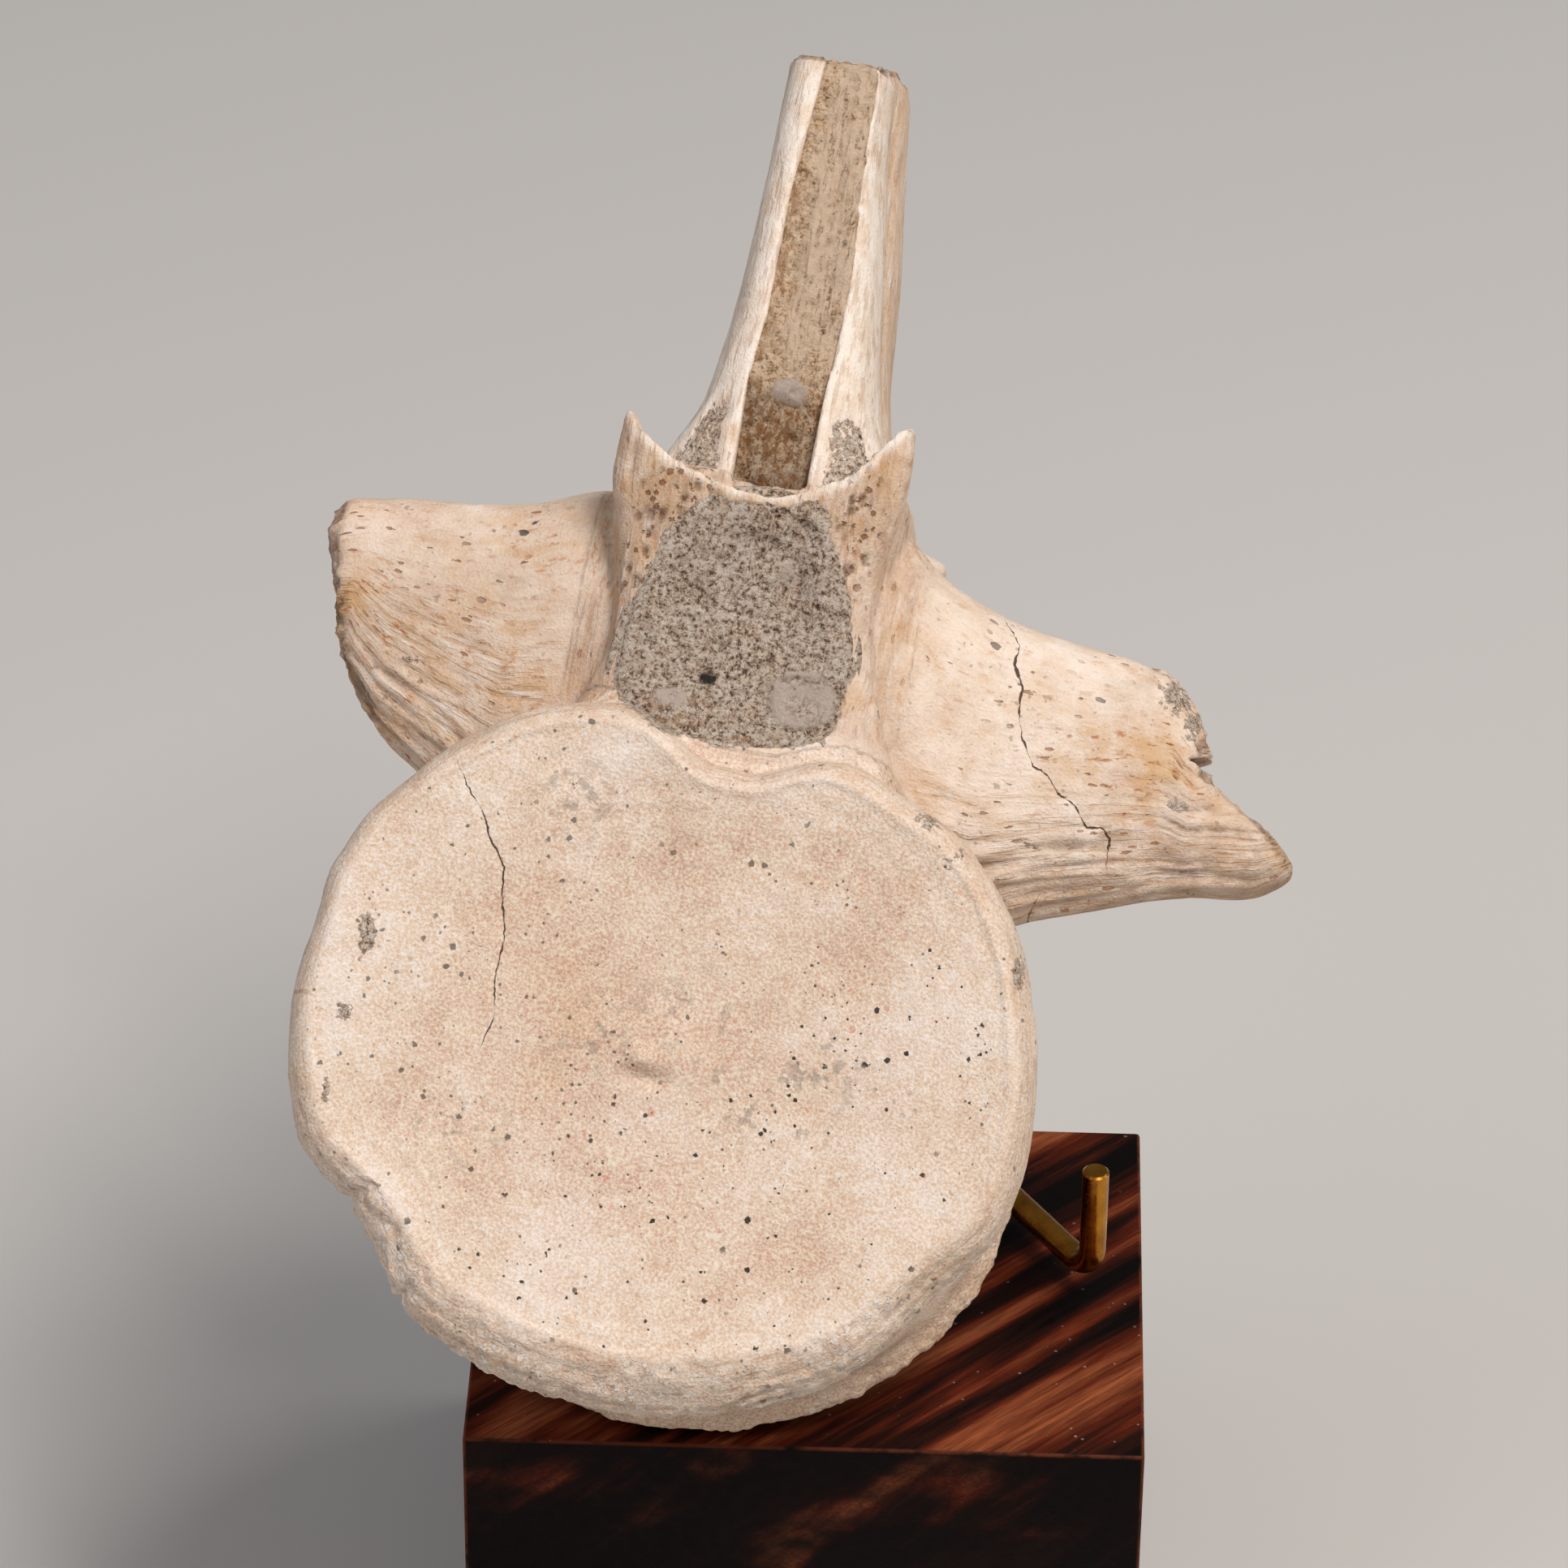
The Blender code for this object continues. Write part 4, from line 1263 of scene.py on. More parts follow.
@dataclass
class Regions:
    """What each point of the bone belongs to, as masks from 0 to 1."""

    radius: np.ndarray
    angle: np.ndarray
    rim: np.ndarray
    lip: np.ndarray
    face: np.ndarray
    band: np.ndarray
    rear: np.ndarray
    left: np.ndarray
    right: np.ndarray
    blade: np.ndarray
    arch: np.ndarray
    broken: np.ndarray
    fibre_place: np.ndarray
    steady: np.ndarray

    @classmethod
    def find(cls, points: np.ndarray, normals: np.ndarray, centrum: Centrum) -> "Regions":
        """Sort points into regions.

        Args:
            points: places on the bone.
            normals: which way the bone faces there.
            centrum: the spool, for its rim.

        Returns:
            The masks.
        """
        x, y, z = points.T
        radius = np.hypot(x, z)
        angle = np.degrees(np.arctan2(z, x))
        rim = centrum.front_rim(angle)
        lip = rim - centrum.band_width(angle)
        front = smoothstep(12.0, 8.0, y) * smoothstep(rim + 3.0, rim + 1.0, radius)
        face = front * smoothstep(lip + 0.6, lip - 0.6, radius) * smoothstep(-0.3, -0.7, normals[:, 1])
        rear = smoothstep(60.0, 64.0, y) * smoothstep(43.0, 41.0, radius)
        clear = (1.0 - np.maximum(front, rear)) * smoothstep(18.0, 22.0, z)
        left = LEFT_PROCESS.inside(points, 17.0) * clear
        right = RIGHT_PROCESS.inside(points, 15.0) * clear
        sides = np.maximum(left, right)
        blade = smoothstep(65.0, 68.0, z) * smoothstep(15.5, 17.0, y)
        arch = smoothstep(36.0, 40.0, z) * smoothstep(30.0, 24.0, y) * (1.0 - sides) * (1.0 - blade)
        arch = arch * smoothstep(20.0, 18.5, np.abs(x)) * (1.0 - face)
        end = np.where(x < 0.0, LEFT_PROCESS.end_distance(points, 2), RIGHT_PROCESS.end_distance(points, 1))
        broken = smoothstep(2.6, 0.6, end) * smoothstep(38.0, 42.0, np.abs(x)) * (y > 10.0)
        top = np.where(y < 34.0, SPINE.levels[-1][0], SPINE_REAR.levels[-1][0])
        broken = np.maximum(broken, smoothstep(top - 1.6, top - 0.4, z))
        beside = np.where((x < 0.0)[:, None], LEFT_PROCESS.fibre_place(points), RIGHT_PROCESS.fibre_place(points))
        upright = np.stack((z, x, y * 0.4), axis=1)
        round_rim = np.stack((np.radians(angle) * 40.0, y * 1.6, radius * 0.6), axis=1)
        rises = np.maximum(blade, arch) - sides
        ring = np.maximum(front, rear)
        place = np.where((rises > 0.0)[:, None], upright, beside)
        place = np.where((ring > 0.5)[:, None], round_rim, place)
        steady = smoothstep(0.05, 0.45, np.abs(rises)) * smoothstep(0.05, 0.4, np.abs(ring - 0.5))
        band = front * (1.0 - face)
        return cls(radius, angle, rim, lip, face, band, rear, left, right, blade, arch, broken, place, steady)


@dataclass
class Bone:
    """The vertebra as one fused and weathered piece."""

    voxel: float = 0.43
    smoothing: int = 2
    scoop_rear_y: float = 15.5
    scoop_top: float = 90.0
    # The lower edge of the hollow between the horns, as x and z
    scoop_edge: Levels = (
        (-20.0, 74.0),
        (-16.1, 69.3),
        (-13.7, 67.1),
        (-10.2, 65.1),
        (-4.6, 63.3),
        (0.8, 62.9),
        (5.7, 64.9),
        (8.7, 66.7),
        (10.5, 68.7),
        (13.2, 72.2),
        (17.0, 76.0),
    )
    notch_place: tuple[float, float] = (50.4, 43.2)
    disc_crack: Crack = Crack(
        ((-28.4, 28.6), (-26.4, 25.2), (-24.3, 22.9), (-23.2, 20.4), (-21.0, 17.2), (-20.6, 13.8), (-19.6, 9.6),
         (-19.9, 5.2), (-19.2, 1.2), (-20.1, -2.6)), 0.07,
    )
    process_cracks: tuple[Crack, ...] = (
        Crack(
            ((27.6, 55.4), (28.7, 54.2), (29.8, 52.6), (29.6, 50.3), (30.9, 47.9), (31.0, 45.1), (31.8, 42.3),
             (33.6, 39.2), (35.3, 38.6), (36.9, 36.6), (38.8, 35.8), (40.5, 33.6), (42.4, 33.8), (43.2, 32.8),
             (43.4, 29.8)), 0.10,
        ),
        Crack(((36.6, 25.4), (36.1, 24.4), (35.2, 21.6)), 0.08),
    )
    stone_patches: tuple[tuple[tuple[float, float, float], tuple[float, float, float]], ...] = (
        ((-34.4, 0.0, 7.5), (1.5, 6.0, 4.6)),
        ((-35.2, 0.0, -1.6), (1.4, 6.0, 2.1)),
        ((-35.6, 0.0, -10.0), (1.0, 6.0, 2.6)),
        ((23.6, 2.0, 29.6), (2.6, 6.0, 2.2)),
        ((27.4, 2.0, 26.0), (2.2, 6.0, 2.6)),
        ((36.4, 2.0, 15.0), (1.2, 6.0, 3.2)),
        ((48.2, 18.0, 50.6), (3.7, 12.0, 4.6)),
        ((50.2, 20.0, 47.2), (1.9, 12.0, 2.8)),
        ((50.2, 18.0, 37.8), (2.0, 12.0, 1.1)),
        ((34.6, 18.0, 30.6), (2.4, 12.0, 0.6)),
        ((-37.0, 17.0, 39.8), (2.0, 12.0, 0.7)),
    )
    ochre_line: Levels = ((36.0, 43.0), (39.2, 43.9), (44.0, 44.0), (47.1, 44.5), (52.1, 44.8))
    smudges: tuple[tuple[float, float], ...] = (
        (-8.0, 0.5), (7.0, -3.5), (14.0, -4.0), (17.0, 2.0), (-14.0, 26.0), (-22.0, -12.0), (2.0, 5.0),
    )

    def scoop(self) -> bpy.types.Object:
        """The bar that hollows the front edge of the arch between its horns."""
        edge = smooth_levels(self.scoop_edge, 81)
        corners = ((self.scoop_edge[-1][0], self.scoop_top), (self.scoop_edge[0][0], self.scoop_top))
        x, z = np.vstack((edge, corners)).T
        return loft("cutter_scoop", [np.stack((x, 0.0 * x + y, z), axis=1) for y in (-12.0, self.scoop_rear_y)])

    def build(self, centrum: Centrum, canal: Canal, channel: SpineChannel) -> bpy.types.Object:
        """Fuse the bone's forms into one skin.

        Args:
            centrum: the spool.
            canal: the hole through the arch.
            channel: the channel down the spine.

        Returns:
            The bone before weathering.
        """
        canal_cut, channel_cut, scoop_cut = canal.cutter(), channel.cutter(), self.scoop()
        arch, horns, spine, spine_rear = (form.lobe() for form in (ARCH, HORNS, SPINE, SPINE_REAR))
        for form in (arch, horns):
            cut(form, canal_cut)
            cut(form, scoop_cut)
        for form in (arch, spine):
            cut(form, channel_cut)
        rears = [SideLobe("lobe_zygapophysis", ZYGAPOPHYSIS_LEVELS, side, 2.3).lobe() for side in Side]
        forms = [centrum.lobe(), arch, horns, spine, spine_rear, LEFT_PROCESS.lobe(), RIGHT_PROCESS.lobe(), *rears]
        piece = fuse("fossil_vertebra", forms, self.voxel, self.smoothing)
        for cutter in (canal_cut, channel_cut, scoop_cut):
            bpy.data.objects.remove(cutter, do_unlink=True)
        return piece

    def fossae(self, points: np.ndarray, normals: np.ndarray, channel: SpineChannel) -> np.ndarray:
        """The rock-filled hollows on both sides of the channel at the spine's foot."""
        x, y, z = points.T
        flank = np.array(SPINE.levels)
        left_flank = np.interp(z, flank[:, 0], flank[:, 1])
        right_flank = np.interp(z, flank[:, 0], flank[:, 2])
        channel_left, channel_right = channel.edges(z)
        facing = smoothstep(0.25, 0.7, -normals[:, 1]) * smoothstep(15.0, 16.0, y) * smoothstep(62.5, 65.5, z)
        wander = 0.6 * layered_noise(points, 2.2, 81)
        left = smoothstep(left_flank + 0.8, left_flank + 2.8, x + wander)
        left = left * smoothstep(channel_left - 0.7, channel_left - 2.2, x + wander)
        right = smoothstep(right_flank - 0.8, right_flank - 2.8, x + wander)
        right = right * smoothstep(channel_right + 0.7, channel_right + 2.2, x + wander)
        return facing * (left * smoothstep(77.5, 73.0, z) + right * smoothstep(78.5, 73.0, z))

    def spongy(self, points: np.ndarray) -> np.ndarray:
        """The open-celled bone beside the upper canal."""
        left = blob(points, (-9.0, 6.0, 61.2), (4.6, 8.0, 3.4))
        low_left = blob(points, (-13.2, 6.0, 55.0), (1.6, 8.0, 8.0))
        right = blob(points, (10.6, 6.0, 60.5), (2.4, 8.0, 7.0))
        return smoothstep(0.15, 0.55, np.maximum(np.maximum(left, low_left), right))

    def relief(self, points: np.ndarray, found: Regions) -> np.ndarray:
        """How far the skin stands out from the smooth form, in millimetres.

        Args:
            points: places on the bone.
            found: the regions.

        Returns:
            The height at each point.
        """
        x, y, z = points.T
        out = np.abs(x)
        stretched = found.fibre_place * (1.0 / 13.0, 1.0 / 1.15, 1.0 / 1.15)
        ridges = 1.0 - 2.2 * np.abs(lattice_noise(stretched, 3)) + 0.5 * lattice_noise(stretched * (1.5, 2.3, 2.3), 4)
        low_left = found.left * smoothstep(47.0, 37.0, z) * smoothstep(24.0, 36.0, out)
        low_right = found.right * smoothstep(0.0, -0.7, RIGHT_PROCESS.height_part(points)) * smoothstep(18.0, 28.0, out)
        tip = found.right * smoothstep(42.0, 50.0, out) * smoothstep(46.0, 42.0, z)
        strength = 0.05 * (found.left + found.right) + 0.25 * low_left + 0.33 * np.maximum(low_right, 0.8 * tip)
        strength = strength * smoothstep(63.5, 56.0, x) + 0.05 * found.blade + 0.14 * found.arch
        shift = (layered_noise(points, 9.0, 11) * 0.18 + layered_noise(points, 2.0, 15) * 0.06) * (1.0 - found.rear)
        shift += strength * ridges * found.steady

        below = smoothstep(0.1, 0.6, -np.sin(np.radians(found.angle)))
        layers = np.sin((y + 0.7 * lattice_noise(points / 6.0, 51)) * 2.0 * np.pi / 1.5)
        knobs = pits(points, found.band * below, (1.3, 1.3, 1.3), 0.42, 53)
        shift += found.band * below * (0.10 * layers + 0.15 * layered_noise(points, 1.4, 57)) + 0.22 * knobs
        lumps = 0.4 * layered_noise(points, 3.4, 65) + 0.22 * pits(points, found.rear, (1.5, 1.5, 1.5), 0.42, 67)
        shift += found.rear * np.minimum(lumps - 0.5, 0.0)

        wander = 0.9 * lattice_noise(points / 9.0, 61)
        rings = np.sin((found.radius + wander) * 2.0 * np.pi / 2.7)
        shift += found.face * smoothstep(14.0, 32.0, found.radius) * rings * 0.04
        line = found.lip - 1.3 + 0.5 * lattice_noise(points / 7.0, 63)
        groove = np.exp(-(((found.radius - line) / 0.28) ** 2)) * smoothstep(-0.3, 0.4, lattice_noise(points / 11.0, 64))
        shift += found.face * (0.10 * smoothstep(line, line + 0.6, found.radius) - 0.16 * groove)

        shift -= 0.55 * pits(points, self.spongy(points) * found.arch, (1.15, 1.15, 1.8), 0.3, 83)
        facet = blob(points, (48.6, 18.0, 50.2), (2.6, 9.0, 3.6)) * smoothstep(0.2, 0.7, found.right)
        ragged = 0.7 * layered_noise(points, 2.2, 71) + 0.4 * layered_noise(points, 1.0, 73) - 0.5
        ragged = ragged * smoothstep(63.0, 56.0, x)
        horn_tips = found.arch * smoothstep(66.0, 69.0, z)
        return shift + found.broken * ragged - 0.7 * facet + 0.3 * horn_tips * layered_noise(points, 1.2, 75)

    def weather(self, piece: bpy.types.Object, centrum: Centrum, canal: Canal, channel: SpineChannel) -> None:
        """Roughen the skin and paint the layers that its finish reads.

        Args:
            piece: the fused bone.
            centrum: the spool, for its rim.
            canal: the canal, for its rock's edge.
            channel: the channel, for the hollows beside it.
        """
        points, normals = read_mesh(piece)
        found = Regions.find(points, normals, centrum)
        relief = self.relief(points, found)
        pitted = self.fossae(points, normals, channel)
        x, y, z = points.T.copy()
        points = points + normals * relief[:, None]

        knob = blob(points, (-2.6, 1.0, -0.8), (1.6, 5.0, 1.2)) - blob(points, (-1.4, 1.0, -3.0), (2.6, 5.0, 1.0))
        points[:, 1] -= 0.9 * found.face * knob
        inward = -points * (1.0, 0.0, 1.0) / np.maximum(found.radius, 1.0)[:, None]
        notches = smoothstep(2.2, 0.0, np.abs(found.angle + 146.0)) + smoothstep(1.2, 0.0, np.abs(found.angle + 128.0))
        around = np.stack((found.angle / 4.6, y / 5.0, 0.0 * y), axis=1)
        ragged_rim = 0.3 + 0.7 * smoothstep(-160.0, -140.0, found.angle) * smoothstep(-20.0, -60.0, found.angle)
        chips = smoothstep(0.2, 0.8, lattice_noise(around, 77)) * 0.35 + 0.1 * lattice_noise(around * 4.0, 78)
        points += inward * (found.band * (chips * ragged_rim + 0.7 * notches))[:, None]

        notch_x, notch_z = self.notch_place
        inside_notch = (x > 44.0) & (y > 10.0) & (np.abs(z - notch_z) < 1.2)
        slot = notch_x + np.abs(z - notch_z) * 2.6 + 0.35 * lattice_noise(points / 1.0, 79)
        points[:, 0] = np.where(inside_notch, np.minimum(points[:, 0], slot), points[:, 0])
        points[:, 1] += pitted * (0.8 - 0.55 * layered_noise(points, 1.5, 85))

        flat = points[:, (0, 2)]
        crack_off = np.full((len(points), 3), 9.0)
        crack_on = np.zeros(len(points))
        groove = np.zeros(len(points))
        on_face = found.face > 0.4
        on_right = (found.right > 0.3) & (y < 24.0) & (normals[:, 1] < 0.1)
        for crack, there in ((self.disc_crack, on_face), *((one, on_right) for one in self.process_cracks)):
            distance, signed, reach = crack.offsets(flat)
            near = there & (distance < 1.8) & (reach > 0.0)
            crack_off[near] = signed[near, None]
            crack_on[near] = (crack.half_width * reach)[near]
            groove = np.maximum(groove, there * reach * smoothstep(0.7, 0.1, distance) * crack.half_width * 1.6)
        points = points - normals * groove[:, None]
        write_points(piece, points)

        patchy = layered_noise(points, 2.2, 89)
        groove_left, groove_right = channel.edges(z)
        foot = smoothstep(15.2, 15.9, y) * smoothstep(24.0, 22.0, y) * smoothstep(67.0, 66.0, z) * smoothstep(61.0, 62.0, z)
        foot = foot * smoothstep(groove_left - 1.0, groove_left, x) * smoothstep(groove_right + 1.0, groove_right, x)
        stone = np.maximum(pitted * (1.0 + 0.25 * patchy), foot)
        for centre, size in self.stone_patches:
            allowed = np.maximum(np.maximum(found.face, found.band), np.maximum(found.left, found.right))
            stone = np.maximum(stone, (blob(points, centre, size) + 0.12 * patchy) * allowed)
        depth = canal.depth_inside(points)
        reach = 0.7 + 1.6 * smoothstep(58.0, 62.0, z) * smoothstep(9.0, 5.0, np.abs(x - 0.5))
        mouth = smoothstep(-0.9, 0.5, depth + reach + 0.8 * layered_noise(points, 1.4, 87) + 1.1 * lattice_noise(points / 4.0, 91))
        mouth = mouth * smoothstep(18.0, 13.0, y) * (1.0 - found.face) * smoothstep(20.0, 17.0, np.abs(x))
        # Painted highlight: a thin pale line along the lower edge of the hollow between the horns, kept clear of rock
        hollow = path_offsets(smooth_levels(self.scoop_edge, 41), flat)[0] + 0.4 * patchy
        crescent_highlight = smoothstep(1.5, 0.5, hollow) * (y < 17.0) * smoothstep(60.0, 61.0, z)
        mouth = mouth * (1.0 - crescent_highlight)
        edge = smoothstep(1.0, 0.0, np.abs(found.radius - found.rim + 1.4)) * smoothstep(5.0, 1.0, y) * found.band
        stone = np.maximum(np.maximum(stone, mouth), 0.3 * edge)

        out = np.abs(x)
        front_face = found.face
        warm = blob(points, (-10.5, 0.0, -1.0), (9.0, 9.0, 12.0)) + 0.7 * blob(points, (-2.0, 0.0, -14.0), (9.0, 9.0, 4.0))
        ends = blob(points, (-42.0, 18.0, 43.0), (6.0, 9.0, 5.0)) + blob(points, (45.0, 18.0, 40.5), (7.0, 9.0, 3.5))
        strip = found.blade * smoothstep(30.0, 35.0, y)
        ridge = found.blade * (1.0 - strip) * (1.0 - pitted)
        sides = np.maximum(found.left, found.right)
        low_left = found.left * smoothstep(50.0, 42.0, z)
        low_right = found.right * smoothstep(0.1, -0.6, RIGHT_PROCESS.height_part(points))
        smudge = sum(blob(points, (spot_x, 0.0, spot_z), (5.0, 9.0, 4.0)) for spot_x, spot_z in self.smudges)
        foramina = blob(points, (-26.4, 17.0, 41.3), (3.0, 9.0, 1.2))
        ochre = found.right * smoothstep(1.0, 0.3, path_offsets(self.ochre_line, flat)[0])
        facet = smoothstep(0.15, 0.4, blob(points, (48.8, 18.0, 50.0), (3.4, 12.0, 5.0)))
        root = blob(points, (-24.0, 14.0, 55.0), (7.0, 9.0, 4.0))
        lines = 0.12 * sides + 0.75 * np.maximum(low_left, low_right) + 0.6 * found.blade + 0.6 * found.arch
        layers = {
            Pattern.OWN.value: points,
            Pattern.FIBRE.value: found.fibre_place,
            "tone": 0.9 * warm * front_face + 0.6 * ends + 0.4 * strip + 0.7 * found.rear + 0.2 * found.broken
            + 0.3 * found.left + 0.3 * found.arch + 0.3 * found.band,
            "grime": 0.55 * found.arch * (1.0 - 0.5 * smoothstep(0.0, 5.0, x)) + 0.6 * low_right
            + 0.25 * found.band + 0.2 * found.rear,
            # pale: paler bone on the right process, the spine's front, the outer disc and the band, with the painted
            # highlight along the hollow's edge
            "pale": 0.4 * found.right * smoothstep(46.0, 38.0, out) + 0.9 * ridge + crescent_highlight
            + 0.25 * front_face * smoothstep(26.0, 34.0, found.radius) + 0.3 * found.band * (1.0 - smoothstep(5.0, 9.0, y)),
            "fibre": lines * found.steady + 0.4 * found.band + 0.2 * found.broken,
            "rust": ochre + 0.35 * sides + 0.35 * low_left + 0.9 * ends + 0.5 * root + 0.35 * found.blade
            + 0.5 * found.arch + 0.1 * front_face + 0.25 * found.band + 0.3 * found.broken,
            # Painted shade where the skin sinks below its smooth form, with a trace of the same dark brown on the
            # broken ends
            "hollow_shade": smoothstep(0.0, -0.35, relief) * (1.0 - np.maximum(front_face, np.maximum(found.rear, facet)))
            + 0.05 * found.broken,
            "dashes": (sides * (0.8 + 0.4 * root) + 0.3 * found.blade + 0.45 * found.arch) * found.steady + foramina,
            "grit": 0.3 + 0.7 * np.maximum(np.maximum(front_face, found.rear), found.band),
            "nodules": found.band * smoothstep(0.2, 0.7, -np.sin(np.radians(found.angle))) + 0.8 * found.rear,
            "smudge": front_face * smudge + 0.1 * sides + 0.2 * found.arch,
            "dots": front_face * (0.75 + 0.25 * smoothstep(-10.0, 12.0, x - z)) + 0.4 * sides + 0.6 * found.band,
            "rock": stone * 0.56 + 0.02,
            "pores": self.spongy(points) * found.arch + 0.1 * found.broken,
            "crack_on": crack_on,
            "crack_off": crack_off,
        }
        paint(piece, layers)


@dataclass
class WoodBlock:
    """The block: sharp planed edges, a little worn, with a drilled hole for each rod."""

    width: float = 80.0
    depth: float = 62.0
    height: float = 45.0
    bevel: float = 0.45
    hole: float = 3.8
    hole_depth: float = 12.6
    # Along the grain on the block's top, and across its growth layers
    grain: tuple[float, float, float] = (0.72, 0.69, 0.0)
    across: tuple[float, float, float] = (0.57, -0.60, -0.57)

    def build(self, holes: Sequence[tuple[float, float]], finish: DarkHardwoodFinish) -> bpy.types.Object:
        """Make and dress the block.

        Args:
            holes: where the rods go in.
            finish: the wood's finish.

        Returns:
            The block.
        """
        size = np.array((self.width, self.depth, self.height))
        corners = np.array(list(np.ndindex(2, 2, 2)), float) - (0.5, 0.5, 0.0)
        faces = ((0, 1, 3, 2), (4, 6, 7, 5), (0, 4, 5, 1), (2, 3, 7, 6), (0, 2, 6, 4), (1, 5, 7, 3))
        piece = make_object("wood_block", corners * size, faces)
        edges = piece.modifiers.new("edges", "BEVEL")
        edges.width = self.bevel * MM
        edges.segments = 3
        edges.limit_method = "ANGLE"
        edges.angle_limit = math.radians(60.0)
        settle(piece)
        turned = np.linspace(0.0, 2.0 * np.pi, 48, endpoint=False)
        for x, y in holes:
            wall = (x + self.hole / 2.0 * np.cos(turned), y + self.hole / 2.0 * np.sin(turned))
            ends = (self.height - self.hole_depth, self.height + 5.0)
            drill = loft("cutter_hole", [np.stack((*wall, 0.0 * turned + z), axis=1) for z in ends])
            cut(piece, drill)
            bpy.data.objects.remove(drill, do_unlink=True)
        piece.data.shade_smooth()
        piece.data.set_sharp_from_angle(angle=math.radians(35.0))
        points, _ = read_mesh(piece)
        near = np.sort(np.abs(np.abs(points - (0.0, 0.0, self.height / 2.0)) - size / 2.0), axis=1)
        third = np.cross(self.grain, self.across)
        layers = {
            Pattern.OWN.value: points,
            Pattern.FIBRE.value: points @ np.array((self.grain, self.across, third)).T,
            "worn": smoothstep(0.44, 0.1, near[:, 1]),
            # Painted shade on the front face
            "front_shade": (points[:, 1] < 0.3 - self.depth / 2.0) * 1.0,
            "dust": (points[:, 2] > self.height - 0.1) * 0.3,
        }
        paint(piece, layers)
        finish.dress(piece, finish.material())
        return piece


@dataclass
class BrassRod:
    """A bent round rod with a small chamfer at each end."""

    name: str
    corners: Levels
    diameter: float = 3.2
    bend_radius: float = 3.6
    chamfer: float = 0.25
    sides: int = 48

    def path(self) -> np.ndarray:
        """The rod's axis, with each corner rounded to an arc."""
        corners = [np.array(corner) for corner in self.corners]
        found = [corners[0]]
        for before, corner, after in zip(corners, corners[1:], corners[2:]):
            into = (before - corner) / np.linalg.norm(before - corner)
            out = (after - corner) / np.linalg.norm(after - corner)
            half = math.acos(into @ out) / 2.0
            middle = into + out
            centre = corner + middle / np.linalg.norm(middle) * self.bend_radius / math.sin(half)
            start = corner + into * self.bend_radius / math.tan(half) - centre
            end = corner + out * self.bend_radius / math.tan(half) - centre
            sweep = math.pi - 2.0 * half
            for part in np.linspace(0.0, 1.0, 13):
                ends = math.sin((1.0 - part) * sweep) * start + math.sin(part * sweep) * end
                found.append(centre + ends / math.sin(sweep))
        found.append(corners[-1])
        return np.array(found)

    def build(self, finish: BrassFinish) -> bpy.types.Object:
        """Sweep the rod along its path and dress it."""
        path = self.path()
        first = (path[1] - path[0]) / np.linalg.norm(path[1] - path[0]) * self.chamfer
        last = (path[-2] - path[-1]) / np.linalg.norm(path[-2] - path[-1]) * self.chamfer
        path = np.vstack((path[0], path[0] + first, path[1:-1], path[-1] + last, path[-1]))
        steps = np.diff(path, axis=0)
        steps /= np.linalg.norm(steps, axis=1, keepdims=True)
        tangents = np.vstack((steps[:1], steps[1:] + steps[:-1], steps[-1:]))
        tangents /= np.linalg.norm(tangents, axis=1, keepdims=True)
        turned = np.linspace(0.0, 2.0 * np.pi, self.sides, endpoint=False)
        side = np.cross(tangents[0], (0.3, 0.9, 0.2))
        rings = []
        for index, (point, tangent) in enumerate(zip(path, tangents)):
            side = side - tangent * (side @ tangent)
            side /= np.linalg.norm(side)
            spread = np.outer(np.cos(turned), side) + np.outer(np.sin(turned), np.cross(tangent, side))
            trim = self.chamfer if index in (0, len(path) - 1) else 0.0
            rings.append(point + spread * (self.diameter / 2.0 - trim))
        piece = loft(self.name, rings)
        piece.data.shade_smooth()
        piece.data.set_sharp_from_angle(angle=math.radians(35.0))
        paint(piece, {Pattern.OWN.value: read_mesh(piece)[0]})
        finish.dress(piece, finish.material())
        return piece


@dataclass
class BrassCradle:
    """Two bent arms and a short prop that carry the bone."""

    bend: tuple[float, float, float] = (33.71, -2.76, 50.0)
    back: tuple[float, float, float] = (15.2, 23.8, 50.0)
    foot_z: float = 33.0
    right_tip: float = 15.3
    left_tip: float = 6.7
    prop_place: tuple[float, float] = (-10.0, 9.0)
    prop_top: float = 66.0

    def rods(self) -> dict[str, BrassRod]:
        """Each rod by the node that it replaces."""
        found = {}
        for node, side, tip in (
            ("stand_arm_right", Side.RIGHT, self.right_tip),
            ("stand_arm_left", Side.LEFT, self.left_tip),
        ):
            flip = np.array((side.value, 1.0, 1.0))
            corners = (
                (self.back[0], self.back[1], self.foot_z),
                self.back,
                self.bend,
                (self.bend[0], self.bend[1], self.bend[2] + tip),
            )
            found[node] = BrassRod("brass_" + node, tuple(tuple(np.array(corner) * flip) for corner in corners))
        prop = ((*self.prop_place, self.foot_z), (*self.prop_place, self.prop_top))
        found["stand_prop"] = BrassRod("brass_stand_prop", prop)
        return found

    def holes(self) -> list[tuple[float, float]]:
        """Where the rods go into the block."""
        return [(-self.back[0], self.back[1]), (self.back[0], self.back[1]), self.prop_place]


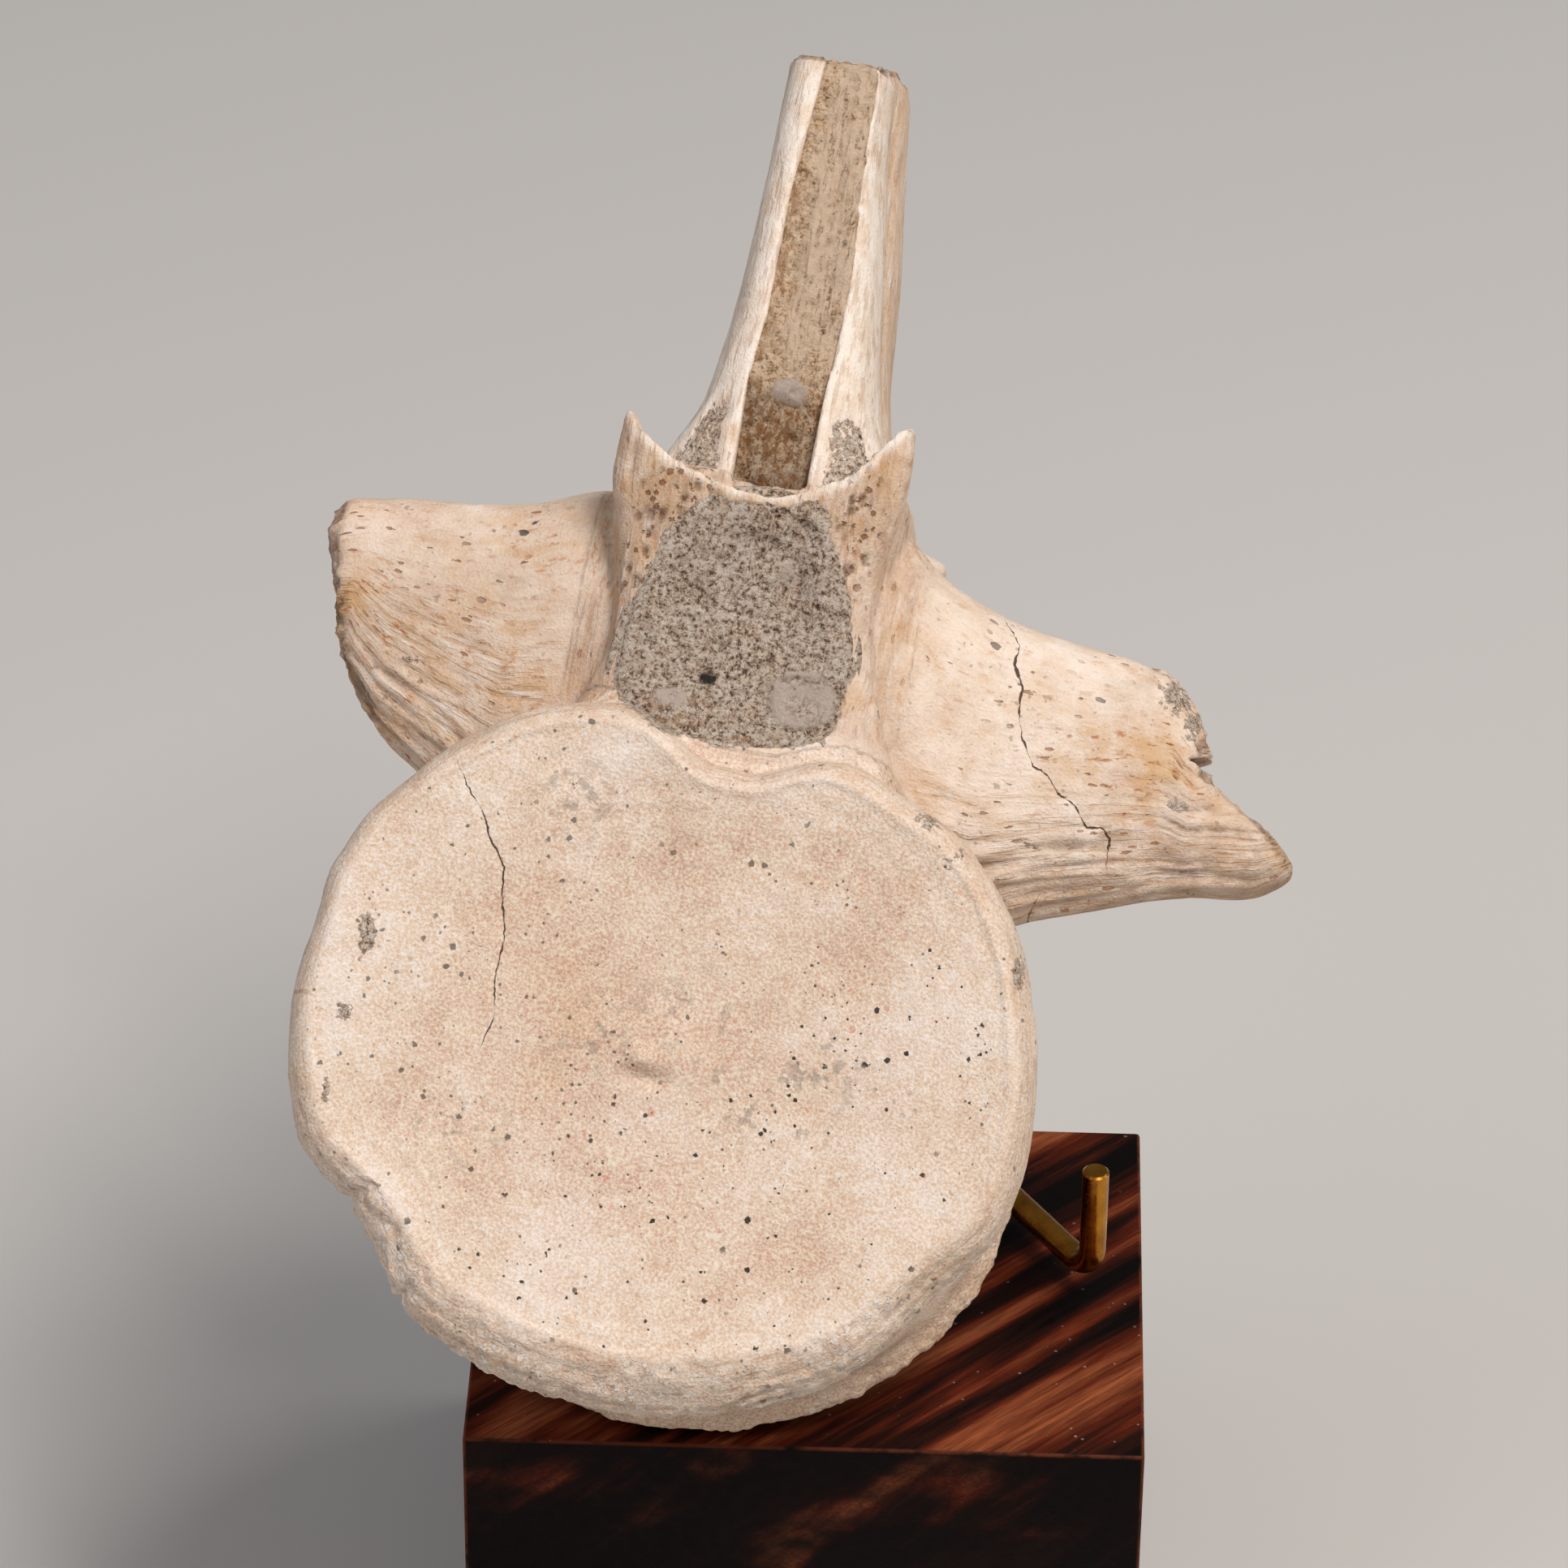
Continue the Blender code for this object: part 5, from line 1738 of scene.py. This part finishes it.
@dataclass
class Studio:
    """Pale floor, soft light and the photograph's viewpoint."""

    camera_place: tuple[float, float, float] = (13.5, -655.0, 577.0)
    elevation: float = 35.0
    turn: float = 1.52
    roll: float = 0.6
    lens: float = 160.0
    floor_size: float = 6.0
    floor_colour: str = "#C9C6C2"

    def floor(self) -> None:
        """A wide pale sheet under the block."""
        half = self.floor_size / 2.0
        mesh = bpy.data.meshes.new("floor")
        mesh.from_pydata([(-half, -half, 0), (half, -half, 0), (half, half, 0), (-half, half, 0)], [], [(0, 1, 2, 3)])
        floor = bpy.data.objects.new("floor", mesh)
        bpy.context.scene.collection.objects.link(floor)
        surface = bpy.data.materials.new("matt_paper")
        surface.use_nodes = True
        shader = surface.node_tree.nodes["Principled BSDF"]
        shader.inputs["Base Color"].default_value = linear(self.floor_colour)
        shader.inputs["Roughness"].default_value = 0.9
        mesh.materials.append(surface)
        floor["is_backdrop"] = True

    def light(self, name: str, place: Sequence[float], size: float, power: float, colour: str) -> None:
        """A square soft box aimed at the bone.

        Args:
            name: the light's name.
            place: where it stands, in metres.
            size: its width in metres.
            power: its power in watts.
            colour: its colour as sRGB hex.
        """
        lamp = bpy.data.lights.new(name, "AREA")
        lamp.size = size
        lamp.energy = power
        lamp.color = linear(colour)[:3]
        made = bpy.data.objects.new(name, lamp)
        made.location = place
        aim = Vector((0.0, 0.0, 0.11)) - made.location
        made.rotation_euler = aim.to_track_quat("-Z", "Y").to_euler()
        bpy.context.scene.collection.objects.link(made)

    def camera(self) -> None:
        """The viewpoint of the photograph, looking down at the block."""
        theta, psi, rho = (math.radians(angle) for angle in (self.elevation, self.turn, self.roll))
        look = Vector((-math.sin(psi) * math.cos(theta), math.cos(psi) * math.cos(theta), -math.sin(theta)))
        level = Vector((math.cos(psi), math.sin(psi), 0.0))
        above = level.cross(look)
        right = math.cos(rho) * level + math.sin(rho) * above
        above = right.cross(look)
        placed = Matrix((right, above, -look)).transposed().to_4x4()
        placed.translation = Vector(self.camera_place) * MM
        lens = bpy.data.cameras.new("camera")
        lens.lens = self.lens
        lens.sensor_width = 36.0
        lens.clip_end = 20.0
        made = bpy.data.objects.new("camera", lens)
        made.matrix_world = placed
        bpy.context.scene.collection.objects.link(made)
        bpy.context.scene.camera = made

    def build(self) -> None:
        """Set floor, lights, sky and camera."""
        self.floor()
        self.light("key_light", (0.42, -0.42, 1.25), 0.45, 14.4, "#FFF9F4")
        self.light("fill_light", (-0.85, -0.5, 1.0), 0.9, 4.8, "#F6F7FF")
        self.light("rim_light", (0.95, 0.3, 0.85), 0.6, 2.5, "#FFFFFF")
        sky = bpy.data.worlds.new("studio")
        sky.use_nodes = True
        sky.node_tree.nodes["Background"].inputs["Color"].default_value = linear("#EDEFF2")
        sky.node_tree.nodes["Background"].inputs["Strength"].default_value = 0.18
        bpy.context.scene.world = sky
        bpy.context.scene.view_settings.view_transform = "Standard"
        self.camera()


def stand_in_for(piece: bpy.types.Object, node: str) -> None:
    """Let a piece ride on the body in place of a node."""
    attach(piece, BODY)
    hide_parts(node)
    LOG.info("%s: %d faces, in place of %s", piece.name, len(piece.data.polygons), node)


def main() -> None:
    """Build and dress every piece, then light the scene."""
    logging.basicConfig(level=logging.INFO, format="%(message)s")
    solid_box = [list(corner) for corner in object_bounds()]
    centrum, canal, channel, bone, bone_frame = Centrum(), Canal(), SpineChannel(), Bone(), BoneFrame()

    bone_finish = FossilBoneFinish("fossil_bone", "fossil_bone")
    vertebra = bone.build(centrum, canal, channel)
    bone.weather(vertebra, centrum, canal, channel)
    bone_finish.dress(vertebra, bone_finish.material())
    canal_rock = canal.fill(RockFillFinish("canal_sandstone", "canal_rock"))
    warm_stone = Sandstone(light="#FCE3C6", middle="#E6C29B", dark="#7D5E44", warm="#B98550", rust=0.5)
    spine_rock = channel.fill(RockFillFinish("spine_sandstone", "spine_rock", warm_stone))
    for piece, node in ((vertebra, "vertebra"), (canal_rock, "canal_matrix"), (spine_rock, "spine_matrix")):
        bone_frame.place(piece, solid_box)
        stand_in_for(piece, node)

    cradle = BrassCradle()
    wood = DarkHardwoodFinish("dark_hardwood", "walnut")
    stand_in_for(WoodBlock().build(cradle.holes(), wood), "stand_block")
    slots = {"stand_arm_right": "brass_right", "stand_arm_left": "brass_left", "stand_prop": "brass_prop"}
    for node, rod in cradle.rods().items():
        stand_in_for(rod.build(BrassFinish(slots[node], slots[node])), node)

    Studio().build()


if __name__ == "__main__":
    main()
